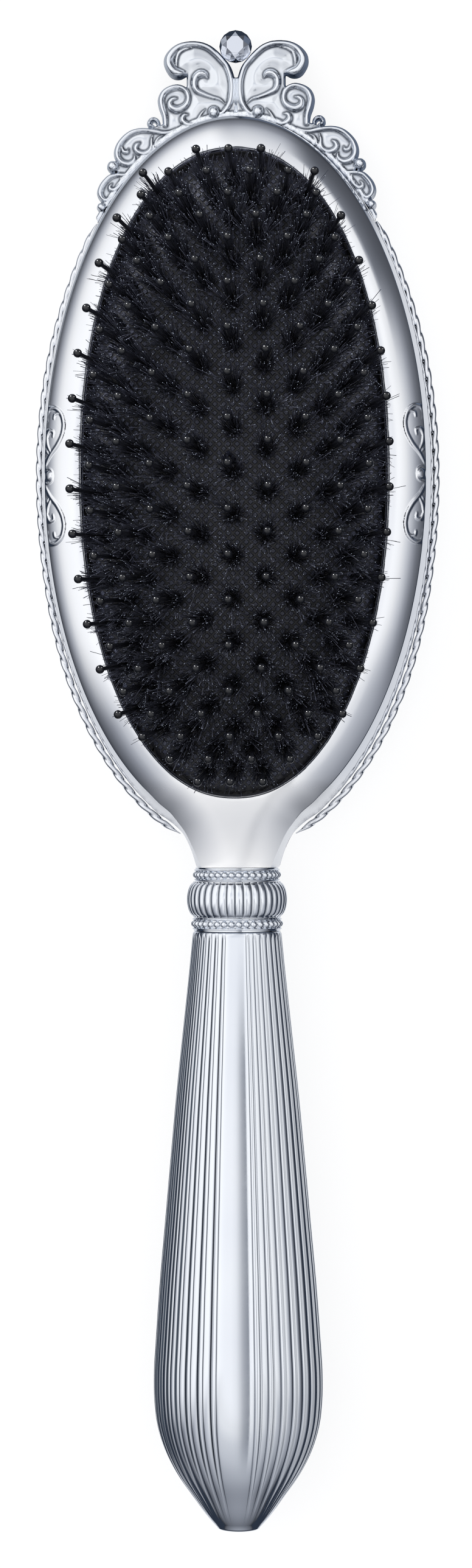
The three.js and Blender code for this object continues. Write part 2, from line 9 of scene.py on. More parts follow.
import bpy
import numpy as np
from mathutils import Matrix, Vector
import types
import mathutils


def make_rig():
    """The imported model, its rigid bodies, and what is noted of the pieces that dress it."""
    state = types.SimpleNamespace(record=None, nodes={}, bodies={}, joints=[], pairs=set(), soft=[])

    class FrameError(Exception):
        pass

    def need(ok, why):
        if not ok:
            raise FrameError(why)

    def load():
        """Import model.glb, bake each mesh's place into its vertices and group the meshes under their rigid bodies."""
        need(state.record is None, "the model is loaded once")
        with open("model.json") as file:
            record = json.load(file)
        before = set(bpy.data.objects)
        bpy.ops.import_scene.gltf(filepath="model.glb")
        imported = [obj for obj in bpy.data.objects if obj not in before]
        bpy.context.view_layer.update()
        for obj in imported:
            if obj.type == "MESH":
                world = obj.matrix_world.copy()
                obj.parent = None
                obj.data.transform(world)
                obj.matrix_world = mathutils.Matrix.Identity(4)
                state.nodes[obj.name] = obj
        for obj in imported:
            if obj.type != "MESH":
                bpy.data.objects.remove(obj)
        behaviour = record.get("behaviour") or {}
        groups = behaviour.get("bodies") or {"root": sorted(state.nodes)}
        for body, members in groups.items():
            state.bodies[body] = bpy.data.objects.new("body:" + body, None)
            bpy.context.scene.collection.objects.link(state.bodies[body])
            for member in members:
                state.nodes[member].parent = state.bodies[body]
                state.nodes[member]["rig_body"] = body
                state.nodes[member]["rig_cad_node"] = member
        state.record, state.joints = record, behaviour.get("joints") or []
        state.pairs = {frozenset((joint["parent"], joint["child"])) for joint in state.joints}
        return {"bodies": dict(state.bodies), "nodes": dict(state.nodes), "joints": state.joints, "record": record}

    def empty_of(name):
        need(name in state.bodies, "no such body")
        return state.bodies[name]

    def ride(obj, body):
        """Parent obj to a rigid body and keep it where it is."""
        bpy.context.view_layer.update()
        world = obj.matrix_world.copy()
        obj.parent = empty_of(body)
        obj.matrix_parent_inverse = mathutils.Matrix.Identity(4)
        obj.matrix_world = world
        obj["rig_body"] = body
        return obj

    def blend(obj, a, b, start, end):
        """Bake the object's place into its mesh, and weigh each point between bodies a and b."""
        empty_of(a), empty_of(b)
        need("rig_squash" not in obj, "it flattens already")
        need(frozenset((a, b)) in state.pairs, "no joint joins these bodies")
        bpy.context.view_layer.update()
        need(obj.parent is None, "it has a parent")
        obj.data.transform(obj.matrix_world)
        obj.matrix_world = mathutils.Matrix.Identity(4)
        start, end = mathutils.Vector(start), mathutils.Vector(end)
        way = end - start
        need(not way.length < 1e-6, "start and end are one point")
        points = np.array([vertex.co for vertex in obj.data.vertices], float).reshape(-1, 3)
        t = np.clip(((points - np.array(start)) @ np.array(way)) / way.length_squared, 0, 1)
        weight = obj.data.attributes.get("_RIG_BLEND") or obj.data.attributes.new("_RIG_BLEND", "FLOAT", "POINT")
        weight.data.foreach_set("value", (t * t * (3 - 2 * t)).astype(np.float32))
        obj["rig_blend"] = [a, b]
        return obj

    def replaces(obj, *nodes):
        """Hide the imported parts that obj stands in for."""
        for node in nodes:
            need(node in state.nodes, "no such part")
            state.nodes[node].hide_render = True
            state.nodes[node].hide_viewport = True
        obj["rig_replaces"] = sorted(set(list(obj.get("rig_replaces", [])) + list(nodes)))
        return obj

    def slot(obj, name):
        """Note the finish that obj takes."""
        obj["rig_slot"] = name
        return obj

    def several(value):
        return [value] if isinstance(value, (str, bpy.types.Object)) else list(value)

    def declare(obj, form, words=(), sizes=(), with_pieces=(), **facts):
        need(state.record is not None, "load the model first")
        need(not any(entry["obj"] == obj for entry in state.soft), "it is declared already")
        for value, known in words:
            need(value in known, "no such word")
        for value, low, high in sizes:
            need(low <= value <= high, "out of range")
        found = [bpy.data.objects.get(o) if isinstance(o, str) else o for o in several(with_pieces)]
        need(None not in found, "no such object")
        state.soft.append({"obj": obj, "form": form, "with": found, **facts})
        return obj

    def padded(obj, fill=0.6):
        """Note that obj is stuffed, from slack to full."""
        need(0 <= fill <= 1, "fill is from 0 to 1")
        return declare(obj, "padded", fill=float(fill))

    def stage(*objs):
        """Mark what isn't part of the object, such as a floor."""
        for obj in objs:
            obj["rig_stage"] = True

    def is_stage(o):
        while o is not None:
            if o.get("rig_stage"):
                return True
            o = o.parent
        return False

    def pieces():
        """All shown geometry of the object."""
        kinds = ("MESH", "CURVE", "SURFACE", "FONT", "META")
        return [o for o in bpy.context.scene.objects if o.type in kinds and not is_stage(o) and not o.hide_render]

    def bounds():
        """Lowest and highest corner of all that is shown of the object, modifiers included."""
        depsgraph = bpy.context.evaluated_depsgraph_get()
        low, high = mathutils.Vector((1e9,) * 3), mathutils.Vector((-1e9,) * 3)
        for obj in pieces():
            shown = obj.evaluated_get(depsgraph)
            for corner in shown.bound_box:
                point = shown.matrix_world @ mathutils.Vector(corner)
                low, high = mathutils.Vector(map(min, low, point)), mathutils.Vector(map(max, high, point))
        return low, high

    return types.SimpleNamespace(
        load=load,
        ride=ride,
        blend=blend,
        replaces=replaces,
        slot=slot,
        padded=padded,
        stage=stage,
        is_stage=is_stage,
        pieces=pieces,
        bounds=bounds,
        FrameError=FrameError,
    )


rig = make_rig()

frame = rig.load()
CAD_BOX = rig.bounds()
rng = np.random.default_rng(11)

# ---------------------------------------------------------------- sizes, in millimetres
MM = 0.001
HEAD_Y = 48.4  # the middle of the head's oval
EDGE = (30.3, 56.8)  # half-width and half-length of the bezel's edge
EDGE_Z = 13.4
FOOT = (31.5, 58.9)  # the same for the bezel's foot, which meets the back shell
FOOT_TOP = 57.7  # the foot's reach at the crown's end
OPENING = (24.2, 51.15)  # the mouth, a superellipse
OPENING_POWER = 2.15
SEAM_Z = 5.95  # the seam between the bezel and the back shell
CREST_Z = 15.9
GAP = 0.3  # between pieces that lie on each other
WALL = 1.8
NECK_END_Y = -14.1
AXIS_Z = 9.8  # the axis of the neck, the collar and the handle
FLATNESS = 0.7  # the handle's thickness over its width
PAD_Z, PAD_RISE, PAD_POWER = 13.3, 6.2, 2.4
FIELD = (21.0, 51.6)  # the part of the pad that the quills stand on
ROWS, QUILL_PITCH = 15, 6.7
BALL_RADIUS, BALL_HEIGHT = 0.7, 15.3  # of the balls at the quills' tips
GEM, GEM_RADIUS = (0.0, 117.4, 7.3), 2.62  # the middle of the stone, and its girdle


# ---------------------------------------------------------------- small helpers
def smoothstep(t, low=0.0, high=1.0):
    """0 up to low, 1 from high, smooth between."""
    u = np.clip((np.asarray(t, float) - low) / (high - low), 0, 1)
    return u * u * (3 - 2 * u)


def mix(a, b, t):
    return a + (b - a) * t


def curve_at(points, t, s):
    """The smooth curve that passes through the points at t, read at s."""
    slope = np.gradient(points, t, axis=0)
    k = np.clip(np.searchsorted(t, s, "right") - 1, 0, len(t) - 2)
    h = (t[k + 1] - t[k])[:, None]
    u = (s - t[k])[:, None] / h
    rise = 3 * u**2 - 2 * u**3
    near = (u**3 - 2 * u**2 + u) * h * slope[k]
    far = (u**3 - u**2) * h * slope[k + 1]
    return (1 - rise) * points[k] + near + rise * points[k + 1] + far


def smooth_line(points, step):
    """A smooth curve through the points, as points about step apart."""
    points = np.array(points, float)
    chord = np.linalg.norm(np.diff(points[:, :2], axis=0), axis=1)
    t = np.concatenate([[0], np.cumsum(chord)])
    return curve_at(points, t, np.linspace(0, t[-1], max(2, int(round(t[-1] / step)) + 1)))


def circle(count):
    """The angles of evenly spaced points round a circle."""
    return 2 * math.pi * np.arange(count) / count


def grid_faces(rows, columns, wrap_rows=False, wrap_columns=False):
    """Quads over a rows x columns grid of points; either way may close on itself."""
    r = np.arange(rows if wrap_rows else rows - 1)
    c = np.arange(columns if wrap_columns else columns - 1)
    i, j = np.meshgrid(r, c, indexing="ij")
    i2, j2 = (i + 1) % rows, (j + 1) % columns
    quads = together(i * columns + j, i * columns + j2, i2 * columns + j2, i2 * columns + j)
    return quads.reshape(-1, 4)


def together(*parts):
    """Coordinates that belong together, as one array of points."""
    return np.stack(np.broadcast_arrays(*parts), -1)


def lathe_faces(rows, sides, start=0):
    """Quads round a run of closed rings, and a face over each end."""
    faces = (grid_faces(rows, sides, wrap_columns=True) + start).tolist()
    faces.append([start + j for j in reversed(range(sides))])
    faces.append([start + (rows - 1) * sides + j for j in range(sides)])
    return faces


def trimmed(quads, rows, columns):
    """The quads of a grid without those that touch the rest along fewer than two sides."""
    for _ in range(3):
        used = np.zeros((rows - 1, columns - 1), bool)
        i, j = quads[:, 0] // columns, quads[:, 0] % columns
        used[i, j] = True
        padded = np.pad(used, 1).astype(int)
        near = padded[:-2, 1:-1] + padded[2:, 1:-1] + padded[1:-1, :-2] + padded[1:-1, 2:]
        quads = quads[near[i, j] >= 2]
    return quads


def rim_edges(quads):
    """The edges that belong to one quad only."""
    edges = np.concatenate([quads[:, [k, (k + 1) % 4]] for k in range(4)])
    _, first, counts = np.unique(np.sort(edges, 1), axis=0, return_index=True, return_counts=True)
    return edges[first[counts == 1]]


def numbered(quads, total):
    """The points that the quads use, and the new number of each point."""
    used = np.unique(quads)
    number = np.full(total, -1)
    number[used] = np.arange(len(used))
    return used, number


def signed_volume(points, faces):
    """Six times the volume inside the faces: negative if they face inwards."""
    total = 0.0
    for size in {len(f) for f in faces}:
        f = np.array([g for g in faces if len(g) == size])
        for k in range(1, size - 1):
            a, b, c = points[f[:, 0]], points[f[:, k]], points[f[:, k + 1]]
            total += np.einsum("ij,ij->i", a, np.cross(b, c)).sum()
    return total


def piece(name, points, faces, material, body, nodes, slot, smooth_angle=35):
    """One closed mesh from points in millimetres, with its slot, riding on its body if it has one."""
    points = np.asarray(points, float).reshape(-1, 3)
    faces = [list(map(int, f)) for f in faces]
    if signed_volume(points, faces) < 0:
        faces = [f[::-1] for f in faces]
    mesh = bpy.data.meshes.new(name)
    mesh.from_pydata((points * MM).tolist(), [], faces)
    mesh.update()
    if smooth_angle:
        mesh.polygons.foreach_set("use_smooth", [True] * len(mesh.polygons))
        mesh.set_sharp_from_angle(angle=math.radians(smooth_angle))
    mesh.materials.append(material)
    made = bpy.data.objects.new(name, mesh)
    bpy.context.scene.collection.objects.link(made)
    if body:
        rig.ride(made, body)
    if nodes:
        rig.replaces(made, *nodes)
    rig.slot(made, slot)
    return made


# ---------------------------------------------------------------- materials
def material(name, color, roughness, metallic=0.0):
    """A new material, its node tree and its Principled shader."""
    mat = bpy.data.materials.new(name)
    mat.use_nodes = True
    tree = mat.node_tree
    shader = tree.nodes["Principled BSDF"]
    shader.inputs["Base Color"].default_value = (*color, 1)
    shader.inputs["Roughness"].default_value = roughness
    shader.inputs["Metallic"].default_value = metallic
    return mat, tree, shader


def feed(tree, socket, value):
    """Links the socket to value, or sets it where value is a number or a colour."""
    if isinstance(value, (int, float)):
        socket.default_value = value
    elif isinstance(value, tuple):
        socket.default_value = (*value, 1)
    else:
        tree.links.new(value, socket)


def math_node(tree, kind, *values):
    """One step of arithmetic on sockets and numbers."""
    made = tree.nodes.new("ShaderNodeMath")
    made.operation = kind
    for socket, value in zip(made.inputs, values):
        feed(tree, socket, value)
    return made.outputs[0]


def mixed_color(tree, factor, a, b, blend="MIX"):
    """Colour a where factor is 0 and b where it is 1."""
    made = tree.nodes.new("ShaderNodeMix")
    made.data_type = "RGBA"
    made.blend_type = blend
    for name, value in (("Factor", factor), ("A", a), ("B", b)):
        feed(tree, made.inputs[name], value)
    return made.outputs["Result"]


def spread(tree, value, source, result, kind="LINEAR"):
    """value, carried over from the source range to the result range."""
    made = tree.nodes.new("ShaderNodeMapRange")
    made.interpolation_type = kind
    for name, limit in zip(("From Min", "From Max", "To Min", "To Max"), (*source, *result)):
        made.inputs[name].default_value = limit
    tree.links.new(value, made.inputs["Value"])
    return made.outputs["Result"]


def eased(tree, value, low, high):
    """0 up to low, 1 from high, smooth between; low may be above high."""
    return spread(tree, value, (low, high), (0, 1), "SMOOTHSTEP")


def ramp(tree, source, stops):
    """A colour ramp over source; stops are (position, colour)."""
    made = tree.nodes.new("ShaderNodeValToRGB")
    line = made.color_ramp
    while len(line.elements) < len(stops):
        line.elements.new(0.5)
    for element, (position, color) in zip(line.elements, stops):
        element.position = position
        element.color = (*color, 1)
    tree.links.new(source, made.inputs["Fac"])
    return made.outputs["Color"]


def coordinates(tree, kind):
    """X, Y and Z of the place ("Object") or of the direction ("Generated")."""
    place = tree.nodes.new("ShaderNodeTexCoord")
    parts = tree.nodes.new("ShaderNodeSeparateXYZ")
    tree.links.new(place.outputs[kind], parts.inputs["Vector"])
    return [parts.outputs[axis] for axis in "XYZ"]


def noise(tree, scale, detail):
    """Noise over the object's own coordinates."""
    place = tree.nodes.new("ShaderNodeTexCoord")
    made = tree.nodes.new("ShaderNodeTexNoise")
    made.inputs["Scale"].default_value = scale
    made.inputs["Detail"].default_value = detail
    tree.links.new(place.outputs["Object"], made.inputs["Vector"])
    return made.outputs["Fac"]


def stored(tree, name):
    """The number that the mesh stores under this name."""
    made = tree.nodes.new("ShaderNodeAttribute")
    made.attribute_name = name
    return made.outputs["Fac"]


def bump(tree, shader, source, distance, strength):
    made = tree.nodes.new("ShaderNodeBump")
    made.inputs["Distance"].default_value = distance
    made.inputs["Strength"].default_value = strength
    tree.links.new(source, made.inputs["Height"])
    tree.links.new(made.outputs["Normal"], shader.inputs["Normal"])


def set_attribute(made, name, values):
    """Stores a number for each vertex, for the materials to read."""
    layer = made.data.attributes.new(name, "FLOAT", "POINT")
    layer.data.foreach_set("value", np.ravel(values).astype(np.float32))


SATIN_ROUGHNESS = 0.32
# the lighter plating of the satin neck: painted brightness
SATIN_PAINTED_BRIGHTNESS = (1.0, 1.0, 1.0)
HAZE = [(0.3, (0.95, 0.955, 0.97)), (0.7, (1, 1, 1))]


def chrome_material(name, color, dark, roughness):
    """Bright plating with fine handling marks.

    Where the mesh stores a painted shade share, the colour darkens towards the dark colour: painted shade. Where it
    stores a satin share, the finish is satin: rougher, with lighter plating that is painted brightness.
    """
    mat, tree, shader = material(name, color, roughness, 1.0)
    # in this material, only a smudgy noise for the handling marks, the haze and the bump
    smudge_and_painted_shade = noise(tree, 60, 3)
    marks = math_node(tree, "MULTIPLY", noise(tree, 900, 4), smudge_and_painted_shade)
    shine = spread(tree, marks, (0.1, 0.45), (roughness * 0.7, roughness * 1.5))
    satin_and_painted_light = stored(tree, "satin_and_painted_light")
    rough = math_node(tree, "MULTIPLY_ADD", satin_and_painted_light, SATIN_ROUGHNESS - roughness, shine)
    tree.links.new(rough, shader.inputs["Roughness"])
    # where the finish is satin, the plating is lighter: painted brightness
    plating = mixed_color(tree, satin_and_painted_light, color, SATIN_PAINTED_BRIGHTNESS)
    # painted shade: the plating turns towards the dark colour where the mesh asks for it
    shade = mixed_color(tree, stored(tree, "painted_shade"), plating, dark)
    tone = mixed_color(tree, 1.0, shade, ramp(tree, smudge_and_painted_shade, HAZE), "MULTIPLY")
    tree.links.new(tone, shader.inputs["Base Color"])
    bump(tree, shader, smudge_and_painted_shade, 0.00002, 0.35)
    return mat


def plain_material(name, color, roughness, metallic=0.0, scale=700, depth=0.00001, contrast=0.25):
    """Moulded or machined stuff: mottled colour, roughness and a fine grain."""
    mat, tree, shader = material(name, color, roughness, metallic)
    grain = noise(tree, scale, 4)
    low = tuple(c * (1 - contrast) for c in color)
    high = tuple(min(1, c * (1 + contrast)) for c in color)
    tree.links.new(ramp(tree, grain, [(0.3, low), (0.7, high)]), shader.inputs["Base Color"])
    rough = spread(tree, grain, (0.3, 0.7), (roughness * 0.8, roughness * 1.2))
    tree.links.new(rough, shader.inputs["Roughness"])
    bump(tree, shader, grain, depth, 0.5)
    return mat


# the dark colour of the painted shade in grooves, creases and hollows
PAINTED_SHADE_COLOR = (0.018, 0.032, 0.056)
CHROME = chrome_material("chrome_plate", (0.82, 0.835, 0.865), PAINTED_SHADE_COLOR, 0.08)
COOL_CHROME = chrome_material("chrome_cool", (0.812, 0.842, 0.888), PAINTED_SHADE_COLOR, 0.08)
GEM_FACETS = chrome_material("gem_facets", (0.86, 0.88, 0.93), (0.5, 0.5, 0.5), 0.03)
RUBBER = plain_material("pad_rubber", (0.060, 0.067, 0.108), 0.42, scale=2500, depth=0.00004)
NYLON = plain_material("quill_nylon", (0.006, 0.0065, 0.009), 0.2, scale=1500)
BRISTLE = plain_material("bristle", (0.10, 0.105, 0.142), 0.38, scale=2000)
# light-coloured bristle tips: painted glints
PAINTED_GLINT_TIP = plain_material("bristle_tip_painted_glint", (0.46, 0.52, 0.64), 0.3, scale=2000)
PLASTIC = plain_material("inner_plastic", (0.024, 0.027, 0.034), 0.5, scale=900, depth=0.00002)
STEEL = plain_material("steel", (0.45, 0.46, 0.49), 0.34, 1.0, scale=1400, contrast=0.12)


def darken_grooves(tree, color):
    """Paints shade into the pad: its grooves are darker than its diamonds."""
    base = tree.nodes["Principled BSDF"].inputs["Base Color"]
    diamonds = base.links[0].from_socket
    tree.links.new(mixed_color(tree, stored(tree, "groove"), diamonds, color), base)


# the colour of the painted shade in the pad's grooves and round the quills
darken_grooves(RUBBER.node_tree, (0.010, 0.0105, 0.0155))

# ---------------------------------------------------------------- outline of the head and neck
OVAL_END = math.acos(-0.89)  # where the head's oval passes into the neck
# the sides of the neck as (x, y), at the edge and at the foot
NECK_EDGE = [(12.2, -3.8), (10.4, -5.35), (9.2, -6.9), (8.0, -8.6), (6.7, -11.3), (5.5, -14.1)]
NECK_FOOT = [(13.0, -5.35), (11.1, -6.65), (9.6, -7.9), (8.6, -9.1), (7.5, -11.4), (6.65, -14.1)]
SCROLL_BAND = (35.5, 60.8)  # the part of the sides that carries the moulded scrolls


def stations():
    """Matching stations of the edge and of the foot, right side, finer where the scrolls are."""
    lines = []
    for oval, top, neck in ((EDGE, EDGE[1], NECK_EDGE), (FOOT, FOOT_TOP, NECK_FOOT)):
        turn = np.arange(0, OVAL_END, math.radians(0.9))
        low, high = (math.acos((y - HEAD_Y) / EDGE[1]) for y in reversed(SCROLL_BAND))
        fine = np.linspace(low, high, 180)
        turn = np.concatenate([turn[turn < low], fine, turn[turn > high]])
        turn = turn[turn < OVAL_END - 0.04]
        reach = np.where(turn < math.pi / 2, top, oval[1])
        head = together(oval[0] * np.sin(turn), HEAD_Y + reach * np.cos(turn))
        end = np.linspace(OVAL_END - 0.12, OVAL_END, 4)
        knots = np.concatenate([together(oval[0] * np.sin(end), HEAD_Y + oval[1] * np.cos(end)), neck])
        t = np.concatenate([np.linspace(0, 1, 4), 1 + np.arange(1, len(neck) + 1)])
        s = np.linspace(t[0], t[-1], 90)
        lines.append(np.concatenate([head, curve_at(knots, t, s[s > 0.66])]))
    return lines


EDGE_SIDE, FOOT_SIDE = stations()


def full_outline(side):
    """Both sides and the flat end of the neck, as one loop of stations."""
    end = side[-1, 0]
    across = np.linspace(end, -end, 25)[1:-1]
    return np.concatenate([side, together(across, NECK_END_Y), side[1:][::-1] * (-1, 1)])


EDGE_LINE, FOOT_LINE = full_outline(EDGE_SIDE), full_outline(FOOT_SIDE)


def opening_radius(x, y):
    """1 on the mouth's edge, less inside it."""
    a = (np.abs(x) / OPENING[0]) ** OPENING_POWER
    b = (np.abs(y - HEAD_Y) / OPENING[1]) ** OPENING_POWER
    return np.maximum(a + b, 1e-9) ** (1 / OPENING_POWER)


CENTRE = np.array([0, HEAD_Y])
OPENING_LINE = CENTRE + (EDGE_LINE - CENTRE) / opening_radius(*EDGE_LINE.T)[:, None]


def offsets(line, x, y):
    """Block by block of points: how far along each straight piece of the line they lie, and their offset."""
    start, run = line[:-1], np.diff(line, axis=0)
    length = np.maximum((run[:, :2] ** 2).sum(-1), 1e-12)
    for first in range(0, len(x), 4000):
        block = slice(first, first + 4000)
        dx, dy = x[block, None] - start[:, 0], y[block, None] - start[:, 1]
        t = np.clip((dx * run[:, 0] + dy * run[:, 1]) / length, 0, 1)
        yield block, t, dx - t * run[:, 0], dy - t * run[:, 1]


def line_distance(line, x, y):
    """Distance from each point to a run of straight pieces."""
    least = np.empty(x.shape)
    for block, _, dx, dy in offsets(line, x, y):
        least[block] = np.hypot(dx, dy).min(1)
    return least


def side_depth(side, x, y):
    """Distance inside both sides of an outline, eased where they come close in the neck."""
    shape = np.shape(x)
    x, y = np.ravel(x), np.ravel(y)
    right = np.maximum(line_distance(side, x, y), 1e-6)
    left = np.maximum(line_distance(side * (-1, 1), x, y), 1e-6)
    eased = (right**-5 + left**-5) ** -0.2
    return mix(np.minimum(right, left), eased, smoothstep(-y, -12.0, 4.0)).reshape(shape)


# ---------------------------------------------------------------- moulded relief
FAR_OUTSIDE = -9.0


def swept(x, y, line):
    """Over a stroke of (x, y, radius) points: the height of its mound, and how far inside its outline."""
    line = smooth_line(line, 0.12)
    line[:, 2] = np.maximum(line[:, 2], 0.02)
    height = np.zeros(x.shape)
    inside = np.full(x.shape, FAR_OUTSIDE)
    low, high = line[:, :2].min(0) - 3, line[:, :2].max(0) + 3
    near = np.flatnonzero((x > low[0]) & (x < high[0]) & (y > low[1]) & (y < high[1]))
    for block, t, dx, dy in offsets(line, x[near], y[near]):
        square = dx**2 + dy**2
        radius = line[:-1, 2] + t * np.diff(line[:, 2])
        height[near[block]] = np.maximum(radius - square / radius, 0).max(1)
        inside[near[block]] = (radius - np.sqrt(square)).max(1)
    return height, inside


# Side scroll of the bezel: half of one side, mirrored about its cabochon and about the brush.
SCROLL_Y = 48.2
SIDE_STROKES = [
    [(30.35, 49.5, 0.12), (29.4, 51.4, 0.3), (28.1, 53.1, 0.36), (27.25, 54.9, 0.36), (27.1, 56.7, 0.36),
     (27.7, 58.3, 0.36), (28.8, 59.0, 0.34), (29.6, 58.8, 0.3), (30.0, 57.9, 0.24), (29.9, 57.0, 0.16)],
    [(27.35, 57.3, 0.12), (27.9, 58.0, 0.2), (28.6, 57.9, 0.24), (28.75, 57.3, 0.2)],
    [(29.3, 51.9, 0.14), (29.9, 53.4, 0.26), (29.9, 54.7, 0.3), (29.4, 55.4, 0.3), (28.85, 55.2, 0.26),
     (28.9, 54.4, 0.16)],
    [(30.3, 51.7, 0.1), (30.0, 52.2, 0.16), (29.7, 51.7, 0.1)],
    [(28.9, 48.2, 0.16), (29.1, 49.0, 0.18), (29.7, 49.4, 0.16), (30.3, 49.3, 0.1)],
]


def side_relief(x, y):
    """Height of the moulded side scrolls above the bezel."""
    across = np.abs(x)
    along = SCROLL_Y + np.abs(y - SCROLL_Y)
    raised = np.zeros(x.shape)
    near = np.flatnonzero((across > 24) & (along < 62))
    for line in SIDE_STROKES:
        height, _ = swept(across[near], along[near], line)
        raised[near] = np.maximum(raised[near], height)
    button = 0.8**2 - (across - 29.75) ** 2 - (y - SCROLL_Y) ** 2
    return np.maximum(raised, np.sqrt(np.maximum(button, 0)) * 0.8)


# ---------------------------------------------------------------- front bezel
def neck_share(y):
    """0 over the head, 1 at the neck's end."""
    return smoothstep(np.asarray(y, float) / NECK_END_Y)


def bezel_top(x, y):
    """Height of the bezel: it swells from its edge to a crest and rolls over at the mouth."""
    share = neck_share(y)
    low = EDGE_Z - 0.6 * share
    high = CREST_Z - 1.95 * share
    depth = np.clip(side_depth(EDGE_SIDE, x, y) / 6.0, 0, 1)
    inward = np.hypot(x, y - HEAD_Y) * (1 - 1 / opening_radius(x, y))
    roll = 0.12 * np.maximum(0, 1 - inward / 0.25) ** 2
    return mix(low, high, 1 - (1 - depth) ** 2.2) - roll


def inward_from(line, distance):
    """The line drawn towards the head's centre by a distance."""
    away = line - CENTRE
    return line - away / np.linalg.norm(away, axis=1, keepdims=True) * distance


def ring(line, z):
    """A line drawn at one height, or at a height for each point."""
    return together(*line.T, z)


def front_bezel():
    """The front shell of the head and neck, as rings from the foot over the crest to the mouth and back."""
    foot, edge, mouth = FOOT_LINE, EDGE_LINE, OPENING_LINE
    seam = SEAM_Z + GAP / 2
    edge_z = bezel_top(*edge.T)
    rings = [ring(inward_from(foot, 0.6), seam), ring(foot, seam + 0.5), ring(foot, seam + 0.9)]
    for t in (0.12, 0.3, 0.5, 0.7, 0.86, 0.96):
        bulge = 0.12 * math.sin(math.pi * t)
        line = mix(foot, edge, t) + (foot - edge) * bulge
        rings.append(ring(line, mix(seam + 0.9, edge_z, t)))
    for t in (0, 0.012, 0.03, *np.linspace(0.055, 0.92, 50)):
        line = mix(edge, mouth, t)
        z = bezel_top(*line.T) + 0.6 * side_relief(*line.T) * smoothstep(t, 0.0, 0.03)
        rings.append(ring(line, z))
    # the fine groove beside the mouth and the bead between them
    groove = [0.0] * len(rings)
    for out in (0.46, 0.38, 0.33, 0.29, 0.25, 0.21, 0.16, 0.1, 0.05, 0):
        line = inward_from(mouth, -out)
        share = math.exp(-(((out - 0.29) / 0.065) ** 2))
        rings.append(ring(line, bezel_top(*line.T) - 0.14 * share))
        groove.append(share)
    last = rings[-1][:, 2]
    # the wall of the mouth and the underside
    rings.append(ring(inward_from(mouth, 0.12), last - 0.12))
    rings.append(ring(inward_from(mouth, 0.22), last - 0.35))
    rings.append(ring(inward_from(mouth, 0.22), 13.75))
    rings.append(ring(mouth, 13.3))
    rings.append(ring(mix(edge, mouth, 0.88), 13.2))
    for t in (0.8, 0.45, 0.22):
        line = mix(edge, mouth, t)
        rings.append(ring(line, bezel_top(*line.T) - WALL))
    rings.append(ring(inward_from(edge, WALL * 0.8), edge_z - 0.6))
    rings.append(ring(inward_from(foot, WALL), seam))
    points = np.stack(rings)
    faces = grid_faces(len(rings), len(foot), wrap_rows=True, wrap_columns=True)
    made = piece("front_bezel_shell", points, faces, CHROME, "root", ["front_bezel"], "chrome_plate", 40)
    # painted shade: a dark line is painted along the fine groove beside the mouth
    smudge_and_painted_shade = np.zeros(points.shape[:2])
    smudge_and_painted_shade[: len(groove)] = np.array(groove)[:, None]
    set_attribute(made, "painted_shade", smudge_and_painted_shade)
    # the neck is satin: rougher, with lighter plating there that is painted brightness
    set_attribute(made, "satin_and_painted_light", smoothstep(-points[..., 1], -2.0, 3.0))


# ---------------------------------------------------------------- back shell and plaque
def back_under(x, y):
    """Height of the back shell's outside, a flat-bottomed bowl."""
    share = neck_share(y)
    reach = mix(14.0, 6.6, share)
    depth = np.clip(side_depth(FOOT_SIDE, x, y) / reach, 0, 1)
    return SEAM_Z - GAP / 2 - mix(4.5, 2.2, share) * (1 - (1 - depth) ** 2.4)


def back_shell():
    """The hollow shell of the back, from the seam to its flat bottom."""
    foot = FOOT_LINE[::2]
    rim = SEAM_Z - GAP / 2
    rings = [ring(inward_from(foot, 0.6), rim), ring(foot, rim - 0.35), ring(foot, rim - 0.75)]
    for t in (*np.linspace(0.992, 0.7, 22), 0.6, 0.45, 0.3, 0.15, 0.02):
        line = mix(CENTRE, foot, t)
        rings.append(ring(line, np.minimum(back_under(*line.T), rim - 0.8)))
    bottom = len(rings) - 1
    for t in (0.02, 0.3, 0.6, 0.75, 0.88):
        line = mix(CENTRE, foot, t)
        rings.append(ring(line, np.minimum(back_under(*line.T), rim - 0.9) + WALL))
    rings.append(ring(inward_from(foot, WALL), rim))
    points = np.stack(rings)
    columns = len(foot)
    quads = grid_faces(len(rings), columns, wrap_rows=True, wrap_columns=True)
    # the outside and the inside are each closed off in the middle, instead of joined to each other
    middle = slice(bottom * columns, (bottom + 1) * columns)
    faces = np.delete(quads, middle, axis=0).tolist()
    faces.append([bottom * columns + j for j in range(columns)])
    faces.append([(bottom + 1) * columns + j for j in reversed(range(columns))])
    piece("back_shell_body", points, faces, CHROME, "root", ["back_shell"], "chrome_plate", 40)


def back_plaque():
    """A raised oval with a rounded edge, the face that the brush lies on."""
    half_width, half_length, round_off = 15, 36, (1.3, 0.6)
    turn = circle(160) + math.pi / 160
    profile = [(2.4, 0.0)]
    for t in np.linspace(0, math.pi / 2, 9):
        profile.append((round_off[0] * (1 - math.sin(t)), round_off[1] * (1 - math.cos(t))))
    profile += [(0.0, 1.0), (1.0, 1.0)]
    rings = []
    for inset, z in profile:
        line = together((half_width - inset) * np.cos(turn), HEAD_Y + (half_length - inset) * np.sin(turn))
        rings.append(ring(line, z))
    faces = lathe_faces(len(rings), len(turn))
    piece("back_plaque_plate", rings, faces, CHROME, "root", ["back_plaque"], "chrome_plate", 30)


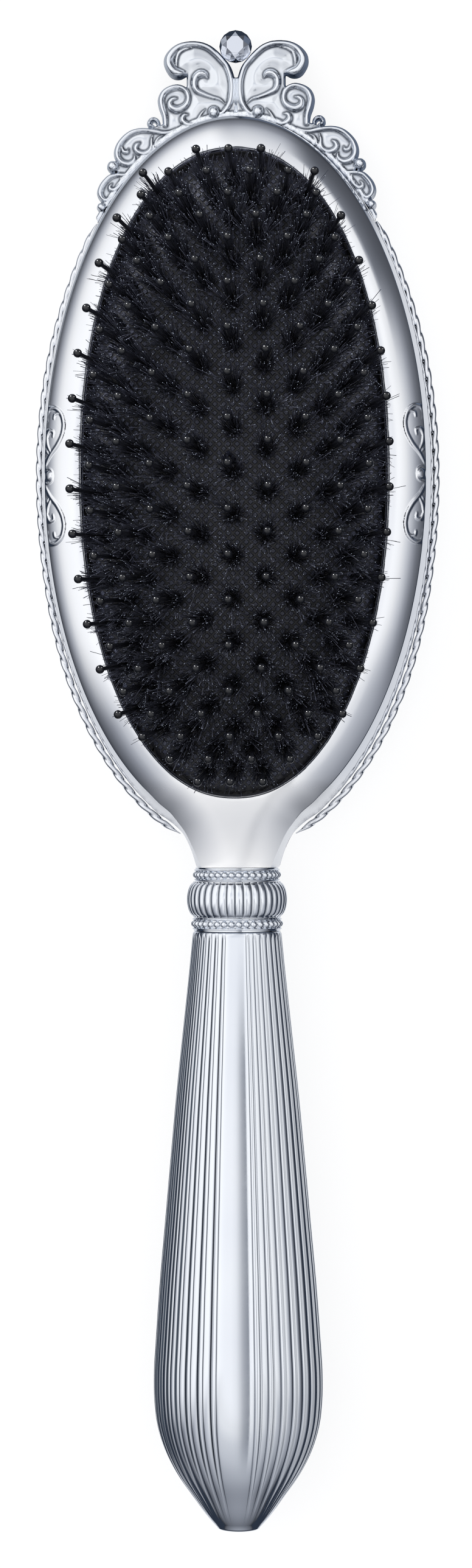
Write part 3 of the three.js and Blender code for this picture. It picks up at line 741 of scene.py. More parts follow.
# ---------------------------------------------------------------- rope strips
def rope(side):
    """Two strands laid round each other, thinning to a point at both ends."""
    lay_length, offset, strand, sides = 5.8, 0.17, 0.42, 24
    turn = np.linspace(math.radians(45), math.radians(163.3), 4000)
    reach = 0.25 + 0.2 * smoothstep(turn, math.radians(55), math.radians(75))
    reach += 0.35 * smoothstep(turn, math.radians(100), math.radians(125))
    length = np.where(turn < math.pi / 2, FOOT_TOP, FOOT[1]) + reach
    line = together(side * (FOOT[0] + reach) * np.sin(turn), HEAD_Y + length * np.cos(turn))
    run = np.concatenate([[0], np.cumsum(np.linalg.norm(np.diff(line, axis=0), axis=1))])
    count = int(run[-1] / 0.24)
    s = np.linspace(0, run[-1], count)
    x, y = np.interp(s, run, line[:, 0]), np.interp(s, run, line[:, 1])
    tangent = together(np.gradient(x), np.gradient(y))
    tangent /= np.linalg.norm(tangent, axis=1, keepdims=True)
    size = np.minimum(1, np.minimum(0.25 + s / 2.5, 0.12 + (run[-1] - s) / 3.5))
    angle = circle(sides)
    about = angle - (2 * math.pi * s / lay_length * side)[:, None]
    radius = offset * np.abs(np.cos(about))
    radius += np.sqrt(np.maximum(strand**2 - (offset * np.sin(about)) ** 2, 0.0))
    radius *= size[:, None]
    across = radius * np.cos(angle)
    x, y = x[:, None] - tangent[:, 1:] * across, y[:, None] + tangent[:, :1] * across
    points = together(x, y, SEAM_Z + radius * np.sin(angle))
    faces = lathe_faces(count, sides)
    hand = "right" if side > 0 else "left"
    piece(f"rope_strip_{hand}", points, faces, CHROME, "root", [f"rope_trim_{hand}"], "chrome_plate", 50)


# ---------------------------------------------------------------- crown
# Strokes of the right half as (x, y, radius); the left half is the mirror image.
CROWN_STROKES = [
    # the web between the wings
    [(0, 105.6, 0.06), (0, 107.3, 0.1), (0, 108.6, 0.3), (0, 110, 0.3), (0, 112.3, 0.3)],
    # the wing's rolled rim, from the middle over the top and round its curl
    [(3.3, 106.25, 0.2), (1.9, 107.1, 0.36), (1.05, 108.4, 0.42), (0.7, 110, 0.45), (0.66, 111.5, 0.45),
     (0.9, 112.9, 0.45), (1.45, 114.3, 0.46), (2.35, 115.4, 0.48), (3.4, 116.5, 0.5), (4.5, 117.35, 0.5),
     (5.7, 117.82, 0.5), (7, 117.95, 0.5), (8.3, 117.8, 0.52), (9.4, 117.35, 0.56), (10.25, 116.6, 0.62),
     (10.75, 115.7, 0.68), (10.75, 114.9, 0.7), (10.4, 114.15, 0.72), (9.8, 113.5, 0.74),
     (9.1, 113.3, 0.62), (8.5, 113.3, 0.4), (7.95, 113.25, 0.15)],
    [(9.5, 114.3, 0.16), (9.5, 115.5, 0.24), (9.15, 116.5, 0.26), (8.3, 117.1, 0.22), (7.1, 117.35, 0.12)],
    # the comma inside the wing
    [(1.7, 108.3, 0.1), (2.6, 109.05, 0.18), (3.8, 109.4, 0.24), (5.3, 109.95, 0.32), (6.3, 110.5, 0.4),
     (6.65, 111.25, 0.44), (6.65, 112.1, 0.48), (6.25, 112.85, 0.56), (5.55, 113.2, 0.6),
     (4.95, 113.05, 0.46), (4.55, 112.5, 0.16)],
    # the second scroll
    [(11.35, 105.0, 0.36), (11.45, 106.5, 0.44), (11.9, 108, 0.48), (12.0, 109.2, 0.5),
     (11.55, 110.2, 0.5), (10.6, 110.85, 0.48), (9.2, 111.1, 0.44), (8.1, 110.55, 0.4),
     (7.65, 109.5, 0.38), (7.9, 108.4, 0.42), (8.7, 107.7, 0.5), (9.7, 107.5, 0.55), (10.45, 107.95, 0.5),
     (10.6, 108.65, 0.38), (10.15, 109.2, 0.28), (9.55, 109.3, 0.16)],
    [(12.5, 104.9, 0.24), (12.75, 105.75, 0.32), (13.3, 106.05, 0.34), (13.85, 105.75, 0.34),
     (13.95, 105.15, 0.3), (13.45, 104.95, 0.24)],
    # the small leaf beside it
    [(7.75, 106.65, 0.14), (8.25, 106.6, 0.28), (8.6, 106.1, 0.4), (8.5, 105.6, 0.45), (8.0, 105.2, 0.4),
     (7.3, 105.05, 0.3), (6.7, 105.25, 0.25), (6.2, 105.75, 0.22), (5.8, 106.4, 0.2),
     (5.35, 107.05, 0.16), (4.95, 107.45, 0.08)],
    # the third scroll with its sprigs
    [(9.7, 104.4, 0.12), (10.6, 103.95, 0.22), (11.6, 103.78, 0.28), (13, 104.0, 0.35),
     (14.3, 104.2, 0.4), (15.6, 104.2, 0.42), (16.9, 103.8, 0.45), (18.05, 102.9, 0.47),
     (18.9, 101.7, 0.48), (19.15, 100.6, 0.48), (18.9, 99.65, 0.48), (18.2, 99.0, 0.46),
     (17.3, 98.85, 0.42), (16.6, 99.2, 0.34), (16.3, 99.8, 0.24), (16.4, 100.3, 0.12)],
    [(18.35, 102.1, 0.1), (18.3, 101.3, 0.2), (18.0, 100.8, 0.3), (17.5, 100.75, 0.3), (17.3, 101.2, 0.12)],
    [(13.4, 103.4, 0.12), (13.6, 102.6, 0.2), (13.6, 101.8, 0.26), (13.8, 101.1, 0.32),
     (14.3, 100.65, 0.35), (15.1, 100.5, 0.38), (15.85, 100.8, 0.4), (16.15, 101.3, 0.38),
     (15.95, 101.9, 0.32), (15.5, 102.2, 0.16)],
    [(12.0, 103.3, 0.1), (12.55, 102.9, 0.18), (12.9, 102.3, 0.22), (12.95, 101.7, 0.34)],
    # the fourth scroll
    [(16.9, 97.55, 0.1), (17.6, 97.2, 0.2), (18.4, 97.1, 0.28), (19.3, 97.1, 0.36), (20.2, 96.85, 0.42),
     (21.0, 96.15, 0.45), (21.65, 95.2, 0.47), (21.9, 94.2, 0.46), (21.55, 93.35, 0.42),
     (21.0, 93.05, 0.35), (20.5, 93.35, 0.26), (20.2, 93.8, 0.12)],
    [(18.6, 97.0, 0.1), (18.55, 96.2, 0.2), (18.7, 95.5, 0.28), (19.2, 94.95, 0.33), (19.85, 94.65, 0.35),
     (20.25, 94.85, 0.33), (20.3, 95.25, 0.24), (20.0, 95.65, 0.12)],
]
CROWN_PEARLS = [  # (x, y, radius)
    (3.55, 107.0, 1.0), (19.85, 98.45, 1.0), (21.7, 91.95, 0.8),
]
# the plate between the strokes
CROWN_FIELD = [
    (0, 104.5), (0, 112.6), (0.66, 112.9), (1.45, 114.3), (2.35, 115.4), (3.4, 116.5), (4.5, 117.35),
    (5.7, 117.82), (7, 117.95), (8.3, 117.8), (9.4, 117.35), (10.25, 116.6), (10.75, 115.7),
    (10.75, 114.9), (10.4, 114.15), (9.8, 113.5), (9.1, 113.3), (8.5, 113.3), (7.95, 113.1),
    (7.95, 111.5), (8.1, 110.9), (9.2, 111.1), (10.6, 110.85), (11.55, 110.2), (12.0, 109.2), (11.9, 108),
    (11.45, 106.5), (11.6, 105.4), (12.6, 105.0), (13.5, 104.9), (14.3, 104.2), (15.6, 104.2),
    (16.9, 103.8), (18.05, 102.9), (18.9, 101.7), (19.15, 100.6), (18.9, 99.65), (19.4, 98.5),
    (19.2, 97.3), (20.2, 96.85), (21.0, 96.15), (21.65, 95.2), (21.9, 94.2), (21.55, 93.35), (21.6, 92.4),
    (21.9, 91.4), (21.0, 91.0), (18, 91), (0, 91),
]
CROWN_BASE = (FOOT[0] + GAP / 2, FOOT_TOP + GAP / 2)  # half-width and reach of its lower edge
CROWN_BACK_Z, CROWN_FIELD_Z = 5.2, 7.0
CROWN_PITCH = 0.13


def polygon_inside(polygon, x, y):
    """Signed distance into a closed polygon."""
    line = np.array(polygon + polygon[:1], float)
    distance = line_distance(line, x, y)
    crossings = np.zeros(x.shape, bool)
    for (ax, ay), (bx, by) in zip(line[:-1], line[1:]):
        spans = (ay > y) != (by > y)
        at_x = ax + (y - ay) * (bx - ax) / (by - ay if by != ay else 1e-9)
        crossings ^= spans & (x < at_x)
    return np.where(crossings, distance, -distance)


def crown_fields(x, y):
    """Over points of the crown, four things.

    How far inside its outline they are, its top above the field, how far inside a stroke they are, and
    how far inside the outline without its lower edge.
    """
    across = np.abs(x)
    inside = polygon_inside(CROWN_FIELD, across, y)
    relief = np.zeros(x.shape)
    stroke = np.full(x.shape, FAR_OUTSIDE)
    for line in CROWN_STROKES:
        height, reach = swept(across, y, [(px, py, r * 1.25) for px, py, r in line])
        relief = np.maximum(relief, height * 1.05)
        stroke = np.maximum(stroke, reach)
    for px, py, r in CROWN_PEARLS:
        d = np.hypot(across - px, y - py)
        relief = np.maximum(relief, np.sqrt(np.maximum(r * r - d * d, 0)) * 1.15)
        stroke = np.maximum(stroke, r - d)
    inside = np.maximum(inside, stroke)
    # the rippled bead along the lower edge
    u, v = x / CROWN_BASE[0], (y - HEAD_Y) / CROWN_BASE[1]
    out = np.hypot(x, y - HEAD_Y) * (1 - 1 / np.maximum(np.hypot(u, v), 1e-6))
    flange = np.maximum(0.5**2 - (out - 0.45) ** 2, 0) ** 0.5
    ripple = 1 + 0.25 * np.sin(np.arctan2(u, v) * 150)
    held = smoothstep(23.2 - across, 0.0, 1.5)
    relief = np.maximum(relief, flange * ripple * held * 0.5)
    inside = np.maximum(inside, np.where(across < 22.6, 0.95 - out, FAR_OUTSIDE))
    return np.minimum(inside, out), relief, np.maximum(stroke, 0.5 - np.abs(out - 0.45)), inside


def soft_field(height):
    """A grid of heights, blurred along both ways."""
    reach = np.arange(-9, 10)
    weights = np.exp(-((reach / 3.8) ** 2))
    weights /= weights.sum()
    for axis in (0, 1):
        height = np.apply_along_axis(np.convolve, axis, height, weights, mode="same")
    return height


def crown_grid():
    """Points and quads that fill the crown's outline, and the pillow of its field at each point."""
    xs = np.arange(-23.4, 23.4 + CROWN_PITCH, CROWN_PITCH)
    ys = np.arange(89.5, 119.0, CROWN_PITCH)
    gx, gy = np.meshgrid(xs, ys, indexing="ij")
    x, y = gx.ravel(), gy.ravel()
    inside, _, stroke, _ = crown_fields(x, y)
    pillow = soft_field(0.5 * smoothstep(-stroke, 0.1, 1.7).reshape(gx.shape)).ravel()
    rows, columns = gx.shape
    quads = grid_faces(rows, columns)
    quads = trimmed(quads[inside[quads].mean(1) > 0], rows, columns)
    # where two cells meet only at a corner, the cells round it are filled, so every edge has two faces
    used = np.zeros((rows - 1, columns - 1), bool)
    used[quads[:, 0] // columns, quads[:, 0] % columns] = True
    padded = np.pad(used, 1)
    a, b, c, d = padded[:-1, :-1], padded[1:, :-1], padded[:-1, 1:], padded[1:, 1:]
    pinched = (a & d & ~b & ~c) | (b & c & ~a & ~d)
    for i, j in zip(*np.nonzero(pinched)):
        used[max(i - 1, 0) : i + 1, max(j - 1, 0) : j + 1] = True
    i, j = np.nonzero(used)
    corner = i * columns + j
    return x, y, together(corner, corner + columns, corner + columns + 1, corner + 1), pillow


def move_to_outline(x, y, rim_points):
    """Moves the points of the rim onto the crown's outline."""
    step = 0.02
    for _ in range(3):
        px, py = x[rim_points], y[rim_points]
        here = crown_fields(px, py)[0]
        dx = (crown_fields(px + step, py)[0] - here) / step
        dy = (crown_fields(px, py + step)[0] - here) / step
        shift = np.clip(here / np.maximum(dx * dx + dy * dy, 0.25), -0.1, 0.1)
        x[rim_points] -= shift * dx
        y[rim_points] -= shift * dy


def crown_plate():
    """A flat-backed plate whose top carries the strokes, the pearls and the pillowed field."""
    x, y, quads, pillow = crown_grid()
    rim = rim_edges(quads)
    move_to_outline(x, y, np.unique(rim))
    chosen, number = numbered(quads, len(x))
    quads, rim = number[quads], number[rim]
    x, y = x[chosen], y[chosen]
    inside, relief, stroke, from_rim = crown_fields(x, y)
    roll = np.sqrt(np.clip(1 - (1 - np.clip(from_rim / 0.45, 0, 1)) ** 2, 0, 1))
    pillow = pillow[chosen] * smoothstep(-stroke, 0.0, 0.5) * smoothstep(inside, 0.0, 1.0)
    top = CROWN_FIELD_Z - 0.9 + 0.9 * roll + np.maximum(relief - 0.35 * (1 - roll), pillow)
    count = len(x)
    points = np.concatenate([together(x, y, top), together(x, y, CROWN_BACK_Z)])
    faces = quads.tolist() + (quads[:, ::-1] + count).tolist()
    faces += [[b, a, a + count, b + count] for a, b in rim.tolist()]
    made = piece("crown_scrollwork", points, faces, COOL_CHROME, "root", ["crown_plate"], "chrome_plate", 50)
    # painted shade in the creases along the edges of the strokes
    crease = np.exp(-(((stroke + 0.02) / 0.17) ** 2)) * smoothstep(inside, 0.2, 0.6)
    # painted shade: the flanks of the scrolls that face the handle are darker
    slope = (crown_fields(x, y + 0.06)[1] - crown_fields(x, y - 0.06)[1]) / 0.12
    shade = 0.55 * smoothstep(slope, 0.35, 1.3) * smoothstep(stroke, 0.0, 0.12)
    # a little painted shade over the field between the strokes
    smudge_and_painted_shade = np.maximum(0.82 * crease, shade) + 0.09 * smoothstep(-stroke, 0.0, 0.3)
    set_attribute(made, "painted_shade", [smudge_and_painted_shade, np.zeros(count)])


def crown_gem():
    """A round stone cut with a table, stars, kites and girdle facets, and the same below."""
    def level(count, radius, z, offset=0.0):
        turn = 2 * math.pi / count * (np.arange(count) + offset)
        return [(radius * math.cos(t), radius * math.sin(t), z) for t in turn]

    points = level(8, 1.42, 1.95, 0.5) + level(8, 2.15, 1.25) + level(16, GEM_RADIUS, 0.14)
    faces = [list(range(8))]
    for i in range(8):
        left, right = 8 + i, 8 + (i + 1) % 8
        low = 17 + 2 * i
        faces += [[i, right, (i + 1) % 8], [i, left, low], [i, low, right]]
        faces += [[left, low - 1, low], [low, 16 + (2 * i + 2) % 16, right]]
    count = len(points)
    points += [(px, py, -pz) for px, py, pz in points]
    faces += [[count + k for k in reversed(f)] for f in faces]
    for i in range(16, count):
        j = i + 1 if i + 1 < count else 16
        faces.append([i, count + i, count + j, j])
    piece("crown_stone", np.add(points, GEM), faces, GEM_FACETS, "root", ["crown_gem"], "cut_crystal", 0)


# ---------------------------------------------------------------- collar
BORE = 5.0  # half-width of the hole in the collar's rings
BEADS, BEAD_RADIUS, BEAD_RING_HALF = 36, 0.56, 0.9
RIBS = 36


def collar_ring(name, node, height_at, ends, around, along, painted_shade_share):
    """A ring round the handle's axis. height_at(turn, y) is its half-width there."""
    t, y = np.meshgrid(circle(around), np.linspace(*ends, along))
    a = np.concatenate([height_at(t, y), np.full((2, around), BORE)])
    y = np.concatenate([y, y[-1:], y[:1]])
    t = np.concatenate([t, t[:2]])
    points = together(a * np.cos(t), y, AXIS_Z + (a * FLATNESS + 0.9) * np.sin(t))
    faces = grid_faces(len(points), around, wrap_rows=True, wrap_columns=True)
    made = piece(name, points, faces, COOL_CHROME, "root", [node], "chrome_plate", 40)
    # painted shade: the hollows between the beads and between the ribs are darker
    smudge_and_painted_shade = painted_shade_share * np.clip((a.mean(1, keepdims=True) - a) / 0.22, 0, 1)
    smudge_and_painted_shade[-4:] = 0
    set_attribute(made, "painted_shade", smudge_and_painted_shade)


def beaded(base, centre_y):
    """Half-width of a ring of round beads between two thin rims."""
    def height(turn, y):
        pitch = 2 * math.pi / BEADS
        along = (np.mod(turn, pitch) - pitch / 2) * (base + 0.2)
        bead = np.sqrt(np.maximum(BEAD_RADIUS**2 - along**2 - (y - centre_y) ** 2, 0))
        past = np.abs(y - centre_y) - BEAD_RING_HALF
        rim = np.sqrt(np.maximum(0.14**2 - (past + 0.14) ** 2, 0)) * 1.6 + 0.12
        return base + np.maximum(bead, np.where(past > -0.28, rim, 0))
    return height


def fluted(turn, y):
    """Half-width of the melon ring: rounded ribs that draw in at both ends."""
    along = np.clip((y + 19.2) / 2.7, -1, 1)
    body = 6.55 + 1.25 * np.sqrt(1 - 0.97 * along**2)
    u = np.mod(turn * RIBS / (2 * math.pi), 1) * 2 - 1
    rib = np.sqrt(np.clip(1 - u**2, 0, 1))
    ends = smoothstep(1 - np.abs(along), 0.0, 0.22)
    return body + 0.38 * (rib - 1) * (0.25 + 0.75 * ends) + 0.22


def collar():
    upper, lower = beaded(6.5, -15.3), beaded(6.8, -23.1)
    collar_ring("collar_bead_ring_upper", "collar_upper_bead_ring", upper, (-14.16, -16.31), 648, 31, 0.25)
    collar_ring("collar_melon_ring", "collar_fluted_ring", fluted, (-16.37, -22.02), 576, 40, 0.8)
    collar_ring("collar_bead_ring_lower", "collar_lower_bead_ring", lower, (-22.08, -24.22), 648, 31, 0.25)


# ---------------------------------------------------------------- handle
HANDLE_SIDE = [  # (y, half-width)
    (-24.3, 7.05), (-30.8, 7.7), (-40.5, 8.75), (-50.3, 9.8), (-60, 10.7), (-70, 11.6), (-80, 12.5),
    (-89, 13.15), (-95, 13.5), (-99, 13.45), (-103, 13.0), (-107, 11.8), (-110.6, 10.0), (-114.5, 7.3),
    (-118.5, 4.25), (-119.4, 3.4),
]
PANEL_HALF = math.radians(13)  # of the plain panel down the middle
REED = math.radians(9.75)  # from one groove to the next
GROOVE_HALF = math.radians(2.2)


def handle_stations():
    """(y, half-width) down the handle, closer together where it turns in."""
    side = smooth_line(HANDLE_SIDE, 0.5)
    keep = [0]
    for i in range(1, len(side)):
        gap = 0.5 if side[i, 0] > -27 else 1.6 if side[i, 0] > -92 else 0.55
        if side[keep[-1], 0] - side[i, 0] >= gap * 0.98:
            keep.append(i)
    side = side[keep]
    end_y, end_a = side[-1]
    bend = np.linspace(0.2, math.pi / 2, 8)
    closing = together(end_y - 0.6 * np.sin(bend), end_a * (0.25 + 0.75 * np.cos(bend)))
    top = [(-24.3, 6.75), (-24.36, 6.9), (-24.5, 7.02)]
    return np.concatenate([top, side[side[:, 0] < -24.6], closing])


def from_groove(turn):
    """How far past the panel's edge a turn is, and how far from the middle of the nearest groove."""
    past = np.abs(turn - math.pi / 2) - PANEL_HALF
    into = np.abs(np.mod(past, REED) - GROOVE_HALF)
    return past, np.minimum(into, REED - into)


def reed_height(turn, y, a):
    """How much the half-width changes at the reeds and at the round-bottomed grooves between them."""
    past, into = from_groove(turn)
    groove = np.sqrt(np.clip(1 - (into / GROOVE_HALF) ** 2, 0, 1)) * 0.30 + 0.05 * (into < GROOVE_HALF)
    crown = np.clip((into - GROOVE_HALF) / (REED / 2 - GROOVE_HALF), 0, 1)
    shoulder = 0.05 * (1 - crown) ** 2 + 0.05 * np.exp(-crown / 0.12)
    depth = np.where(into < GROOVE_HALF, groove + 0.1, shoulder)
    depth = np.where(past < 0, 0.05 * np.exp(past / 0.01), depth)
    fade = smoothstep(y, -118.4, -108.0) * smoothstep(-y, 24.4, 25.6)
    return -depth * a / 10.7 * fade


def groove_painted_shade(turn, y):
    """Painted shade along both edges of each groove, thicker on the left, and a thin one on the right's reeds."""
    past, into = from_groove(turn)
    left = turn > math.pi / 2
    into = into / GROOVE_HALF
    edge = np.exp(-(((into - 0.92) / np.where(left, 0.26, 0.19)) ** 2)) * (past > -0.5 * GROOVE_HALF)
    reed = (into > 1.1) & (past > 0)
    fade = smoothstep(y, -117.0, -106.0) * smoothstep(-y, 24.4, 25.6)
    return np.where(left, edge, 0.5 * edge + 0.08 * reed) * fade


def handle_turns():
    """Angles across a shell, close together at the grooves and at the panel's edge."""
    groove = GROOVE_HALF * (1 - np.cos(np.linspace(0, math.pi, 11)))
    shares = np.array([0.004, 0.03, 0.08, 0.2, 0.35, 0.5, 0.65, 0.8, 0.92, 0.97])
    reed = 2 * GROOVE_HALF + (REED - 2 * GROOVE_HALF) * shares
    offs = [np.linspace(0, PANEL_HALF * 0.9, 9), PANEL_HALF * np.array([0.95, 0.985, 0.999])]
    for i in range(9):
        offs += [PANEL_HALF + REED * i + groove, PANEL_HALF + REED * i + reed]
    off = np.concatenate(offs)
    off = np.concatenate([off[off < math.pi / 2 - 0.004], [math.pi / 2]])
    return np.concatenate([math.pi / 2 - off[::-1], math.pi / 2 + off[1:]])


def handle_shell(side):
    """The front half of the handle for side 1, the back half for side -1."""
    line = handle_stations()
    t, y = np.meshgrid(handle_turns(), line[:, 0])
    half_width = np.broadcast_to(line[:, 1:], t.shape)
    reach = half_width + reed_height(t, y, half_width)
    lift = np.maximum(reach * FLATNESS * np.sin(t), 0)
    outer = together(reach * np.cos(t), y, AXIS_Z + side * (GAP / 2 + lift))
    painted_shade = groove_painted_shade(t, y)
    t, y = np.meshgrid(np.linspace(math.pi, 0, 19), line[:, 0])
    reach = np.maximum(line[:, 1:] - WALL, 0.05)
    lift = np.maximum(reach * FLATNESS - 0.4, 0.03) * np.sin(t)
    inner = together(reach * np.cos(t), y, AXIS_Z + side * (GAP / 2 + lift))
    points = np.concatenate([outer, inner], 1)
    faces = lathe_faces(*points.shape[:2])
    name = "front" if side > 0 else "back"
    nodes = [f"handle_{name}_shell"]
    made = piece(f"handle_shell_{name}", points, faces, COOL_CHROME, "root", nodes, "chrome_plate", 35)
    set_attribute(made, "painted_shade", np.concatenate([painted_shade, np.zeros(t.shape)], 1))


# ---------------------------------------------------------------- quills
def pad_top(x, y):
    """Height of the pad's dome."""
    return PAD_Z + PAD_RISE * (1 - np.minimum(opening_radius(x, y), 1) ** PAD_POWER)


def quill_places(row):
    """Where the quills of one row stand, left to right; odd columns sit half a pitch on."""
    places = []
    for column in range(-5, 6):
        odd = abs(column) % 2
        y = (row - ROWS // 2 + odd / 2) * QUILL_PITCH
        if (row == ROWS - 1 and odd) or (row in (0, ROWS - 1) and abs(column) > 3):
            continue
        room = FIELD[0] * math.sqrt(1 - (y / FIELD[1]) ** 2)
        across = math.sin(math.radians(13.2 * column)) / math.sin(math.radians(66))
        places.append((room * across, HEAD_Y + y))
    return places


def quill_frame(x, y):
    """The foot of a quill on the pad, its direction, and two directions across it."""
    lean_x = math.sin(math.radians(0.68 * x))
    lean_y = math.sin(math.radians(0.16 * (y - HEAD_Y)))
    axis = np.array([lean_x, lean_y, math.sqrt(1 - lean_x**2 - lean_y**2)])
    side = np.cross(axis, (0, 1, 0))
    side /= np.linalg.norm(side)
    foot = np.array([x, y, float(pad_top(np.float64(x), np.float64(y)))])
    return foot, axis, side, np.cross(axis, side)


ALL_PLACES = [quill_places(row) for row in range(ROWS)]


def quill_row(row):
    """The quills of one row, each a shaft with a ball, sunk a little into the pad."""
    sides = 14
    profile = [(0.36, -2.6), (0.36, 0.2), (0.34, 5), (0.33, 12), (0.34, 14.2)]
    for t in np.linspace(0.56, math.pi - 0.12, 12):
        profile.append((BALL_RADIUS * math.sin(t), BALL_HEIGHT - BALL_RADIUS * math.cos(t)))
    turn = circle(sides)
    rings, faces = [], []
    for x, y in ALL_PLACES[row]:
        foot, axis, across, up = quill_frame(x, y)
        spokes = np.outer(np.cos(turn), across) + np.outer(np.sin(turn), up)
        faces += lathe_faces(len(profile), sides, len(rings) * sides)
        rings += [foot + axis * height + spokes * radius for radius, height in profile]
    name = f"{row + 1:02d}"
    piece(f"quills_{name}", rings, faces, NYLON, f"row_{name}", [f"quill_row_{name}"], "nylon", 60)


BRISTLES = 120  # in one tuft


def tuft(x, y):
    """One tuft as bristle x level x corner points: bristles round a quill, shorter at the pad's rim."""
    foot, axis, across, up = quill_frame(x, y)
    level = np.array([0.0, 0.5, 1.0])
    angle = rng.uniform(0, 2 * math.pi, BRISTLES)
    start = 0.4 + 1.0 * np.sqrt(rng.uniform(0, 1, BRISTLES))
    length = rng.uniform(8.5, 12.6, BRISTLES) * (1 - 0.3 * smoothstep(opening_radius(x, y), 0.72, 0.94))
    splay = np.abs(rng.normal(0.0, 0.13, BRISTLES)) + 0.02
    curl = rng.normal(0, 0.03, BRISTLES)
    thick = rng.uniform(0.05, 0.07, BRISTLES)
    # about a third of the bristles get a wider tip, painted light-coloured as a glint
    glint = rng.uniform(0, 1, BRISTLES) < 0.3
    out = across * np.cos(angle)[:, None] + up * np.sin(angle)[:, None]
    turned = up * np.cos(angle)[:, None] - across * np.sin(angle)[:, None]
    h = length[:, None] * level
    away = start[:, None] + splay[:, None] * h * (0.55 + 0.45 * level)
    root = foot + out * start[:, None]
    drop = pad_top(root[:, 0], root[:, 1]) - foot[2]
    rise = h * np.cos(splay)[:, None] - 0.5 + drop[:, None] * (1 - level)
    centre = foot + out[:, None] * away[..., None] + turned[:, None] * (curl[:, None] * h * level)[..., None]
    centre = centre + axis * rise[..., None]
    radius = thick[:, None] * (1 - 0.4 * level) * np.where(glint[:, None] & (level == 1), 1.7, 1)
    turn = angle[:, None] + circle(3)
    corner = across * np.cos(turn)[..., None] + up * np.sin(turn)[..., None]
    return centre[:, :, None] + corner[:, None] * radius[..., None, None], glint


def bristle_row(row):
    """The tufts of one row, with light-coloured tips here and there that are painted glints."""
    points, glint = (np.concatenate(parts) for parts in zip(*(tuft(x, y) for x, y in ALL_PLACES[row])))
    one = lathe_faces(3, 3)
    faces = [[v + 9 * k for v in face] for k in range(len(points)) for face in one]
    name = f"{row + 1:02d}"
    made = piece(f"bristles_{name}", points, faces, BRISTLE, f"row_{name}", [], "nylon", 60)
    # the painted glints take the light-coloured tip material
    made.data.materials.append(PAINTED_GLINT_TIP)
    index = np.zeros(len(faces), int)
    index[np.flatnonzero(glint) * len(one) + len(one) - 1] = 1
    made.data.polygons.foreach_set("material_index", index)


# ---------------------------------------------------------------- cushion pad
DIAMOND = 1.4 / math.sqrt(2)  # the side of one diamond of the pad's grid
PAD_RIM = 0.985  # the dome's edge, as a share of the mouth
VENT = (-0.5, 50.2)


def pad_grid():
    """The pad's points and quads, laid along the diamonds, and its rim as one loop drawn out to the edge.

    raised is 1 on a diamond and 0 in the grooves.
    """
    steps = np.array([0.05, 0.15, 0.24, 0.76, 0.85, 0.95])
    reach = int(60 / DIAMOND) + 2
    lines = (np.arange(-reach, reach)[:, None] + steps).ravel() * DIAMOND
    u, v = (way.ravel() for way in np.meshgrid(lines, lines, indexing="ij"))
    x = (u - v) / math.sqrt(2)
    y = HEAD_Y + (u + v) / math.sqrt(2)
    size = len(lines)
    rho = opening_radius(x, y)
    quads = grid_faces(size, size)
    quads = trimmed(quads[rho[quads].max(1) < PAD_RIM + 0.012], size, size)
    rim = rim_edges(quads)
    follow = {int(a): int(b) for a, b in rim}
    loop = [int(rim[0, 0])]
    while follow[loop[-1]] != loop[0]:
        loop.append(follow[loop[-1]])
    share = PAD_RIM / rho[loop]
    x[loop] *= share
    y[loop] = HEAD_Y + (y[loop] - HEAD_Y) * share
    in_u, in_v = np.mod(u / DIAMOND, 1), np.mod(v / DIAMOND, 1)
    raised = ((in_u > 0.2) & (in_u < 0.8) & (in_v > 0.2) & (in_v < 0.8)).astype(float)
    raised *= smoothstep(PAD_RIM - opening_radius(x, y), 0.0, 0.03)
    return x, y, quads, loop, raised


def cushion_pad():
    """The domed pad with its diamonds, its vent hole and the flange that is clamped under the bezel."""
    x, y, quads, loop, raised = pad_grid()
    z = pad_top(x, y) + 0.16 * raised
    # painted shade: the grooves between the diamonds, a ring round each quill's foot, the flange and the underside are
    # darker
    dark = 1 - raised
    for places in ALL_PLACES:
        for place in places:
            d = np.hypot(x - place[0], y - place[1])
            z -= 0.35 * np.exp(-((d / 0.8) ** 2))
            dark = np.maximum(dark, 0.5 * (1 - smoothstep(d, 1.2, 1.7)))
    z -= 1.1 * (1 - smoothstep(np.hypot(x - VENT[0], y - VENT[1]), 0.55, 1.0))
    chosen, number = numbered(quads, len(x))
    points = [together(x, y, z)[chosen]]
    faces = number[quads].tolist()
    away = (together(x, y)[loop] - CENTRE) / PAD_RIM
    before = number[loop]
    start, count = len(chosen), len(loop)
    # the flange, then the dome's underside; a ring without a height of its own follows the dome
    for share, height in (
        (0.985, 12.8), (1.04, 12.8), (1.04, 11.5), (0.955, 11.5),
        (0.93, None), (0.8, None), (0.6, None), (0.35, None), (0.1, None),
    ):
        line = away * share + CENTRE
        points.append(ring(line, pad_top(*line.T) - 1.6 if height is None else height))
        now = start + np.arange(count)
        faces += together(np.roll(before, -1), before, now, np.roll(now, -1)).tolist()
        before = now
        start += count
    faces.append(before.tolist()[::-1])
    dark = np.concatenate([dark[chosen], np.ones(start - len(chosen))])
    points = np.concatenate(points)
    made = piece("cushion_dome", points, faces, RUBBER, None, ["cushion_pad"], "rubber", 25)
    set_attribute(made, "groove", dark)
    # the clamped rim stays where it is and the dome goes down with the cushion
    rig.blend(made, "root", "cushion", start=(0, HEAD_Y * MM, 0.011), end=(0, HEAD_Y * MM, 0.017))
    held = opening_radius(points[:, 0], points[:, 1])
    share = (1 - smoothstep(held, 0.72, 0.95)).astype(np.float32)
    made.data.attributes["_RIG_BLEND"].data.foreach_set("value", share)
    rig.padded(made, fill=0.8)


# ---------------------------------------------------------------- make the brush
front_bezel()
back_shell()
back_plaque()
rope(1)
rope(-1)
crown_plate()
crown_gem()
collar()
handle_shell(1)
handle_shell(-1)
cushion_pad()
for row in range(ROWS):
    quill_row(row)
    bristle_row(row)

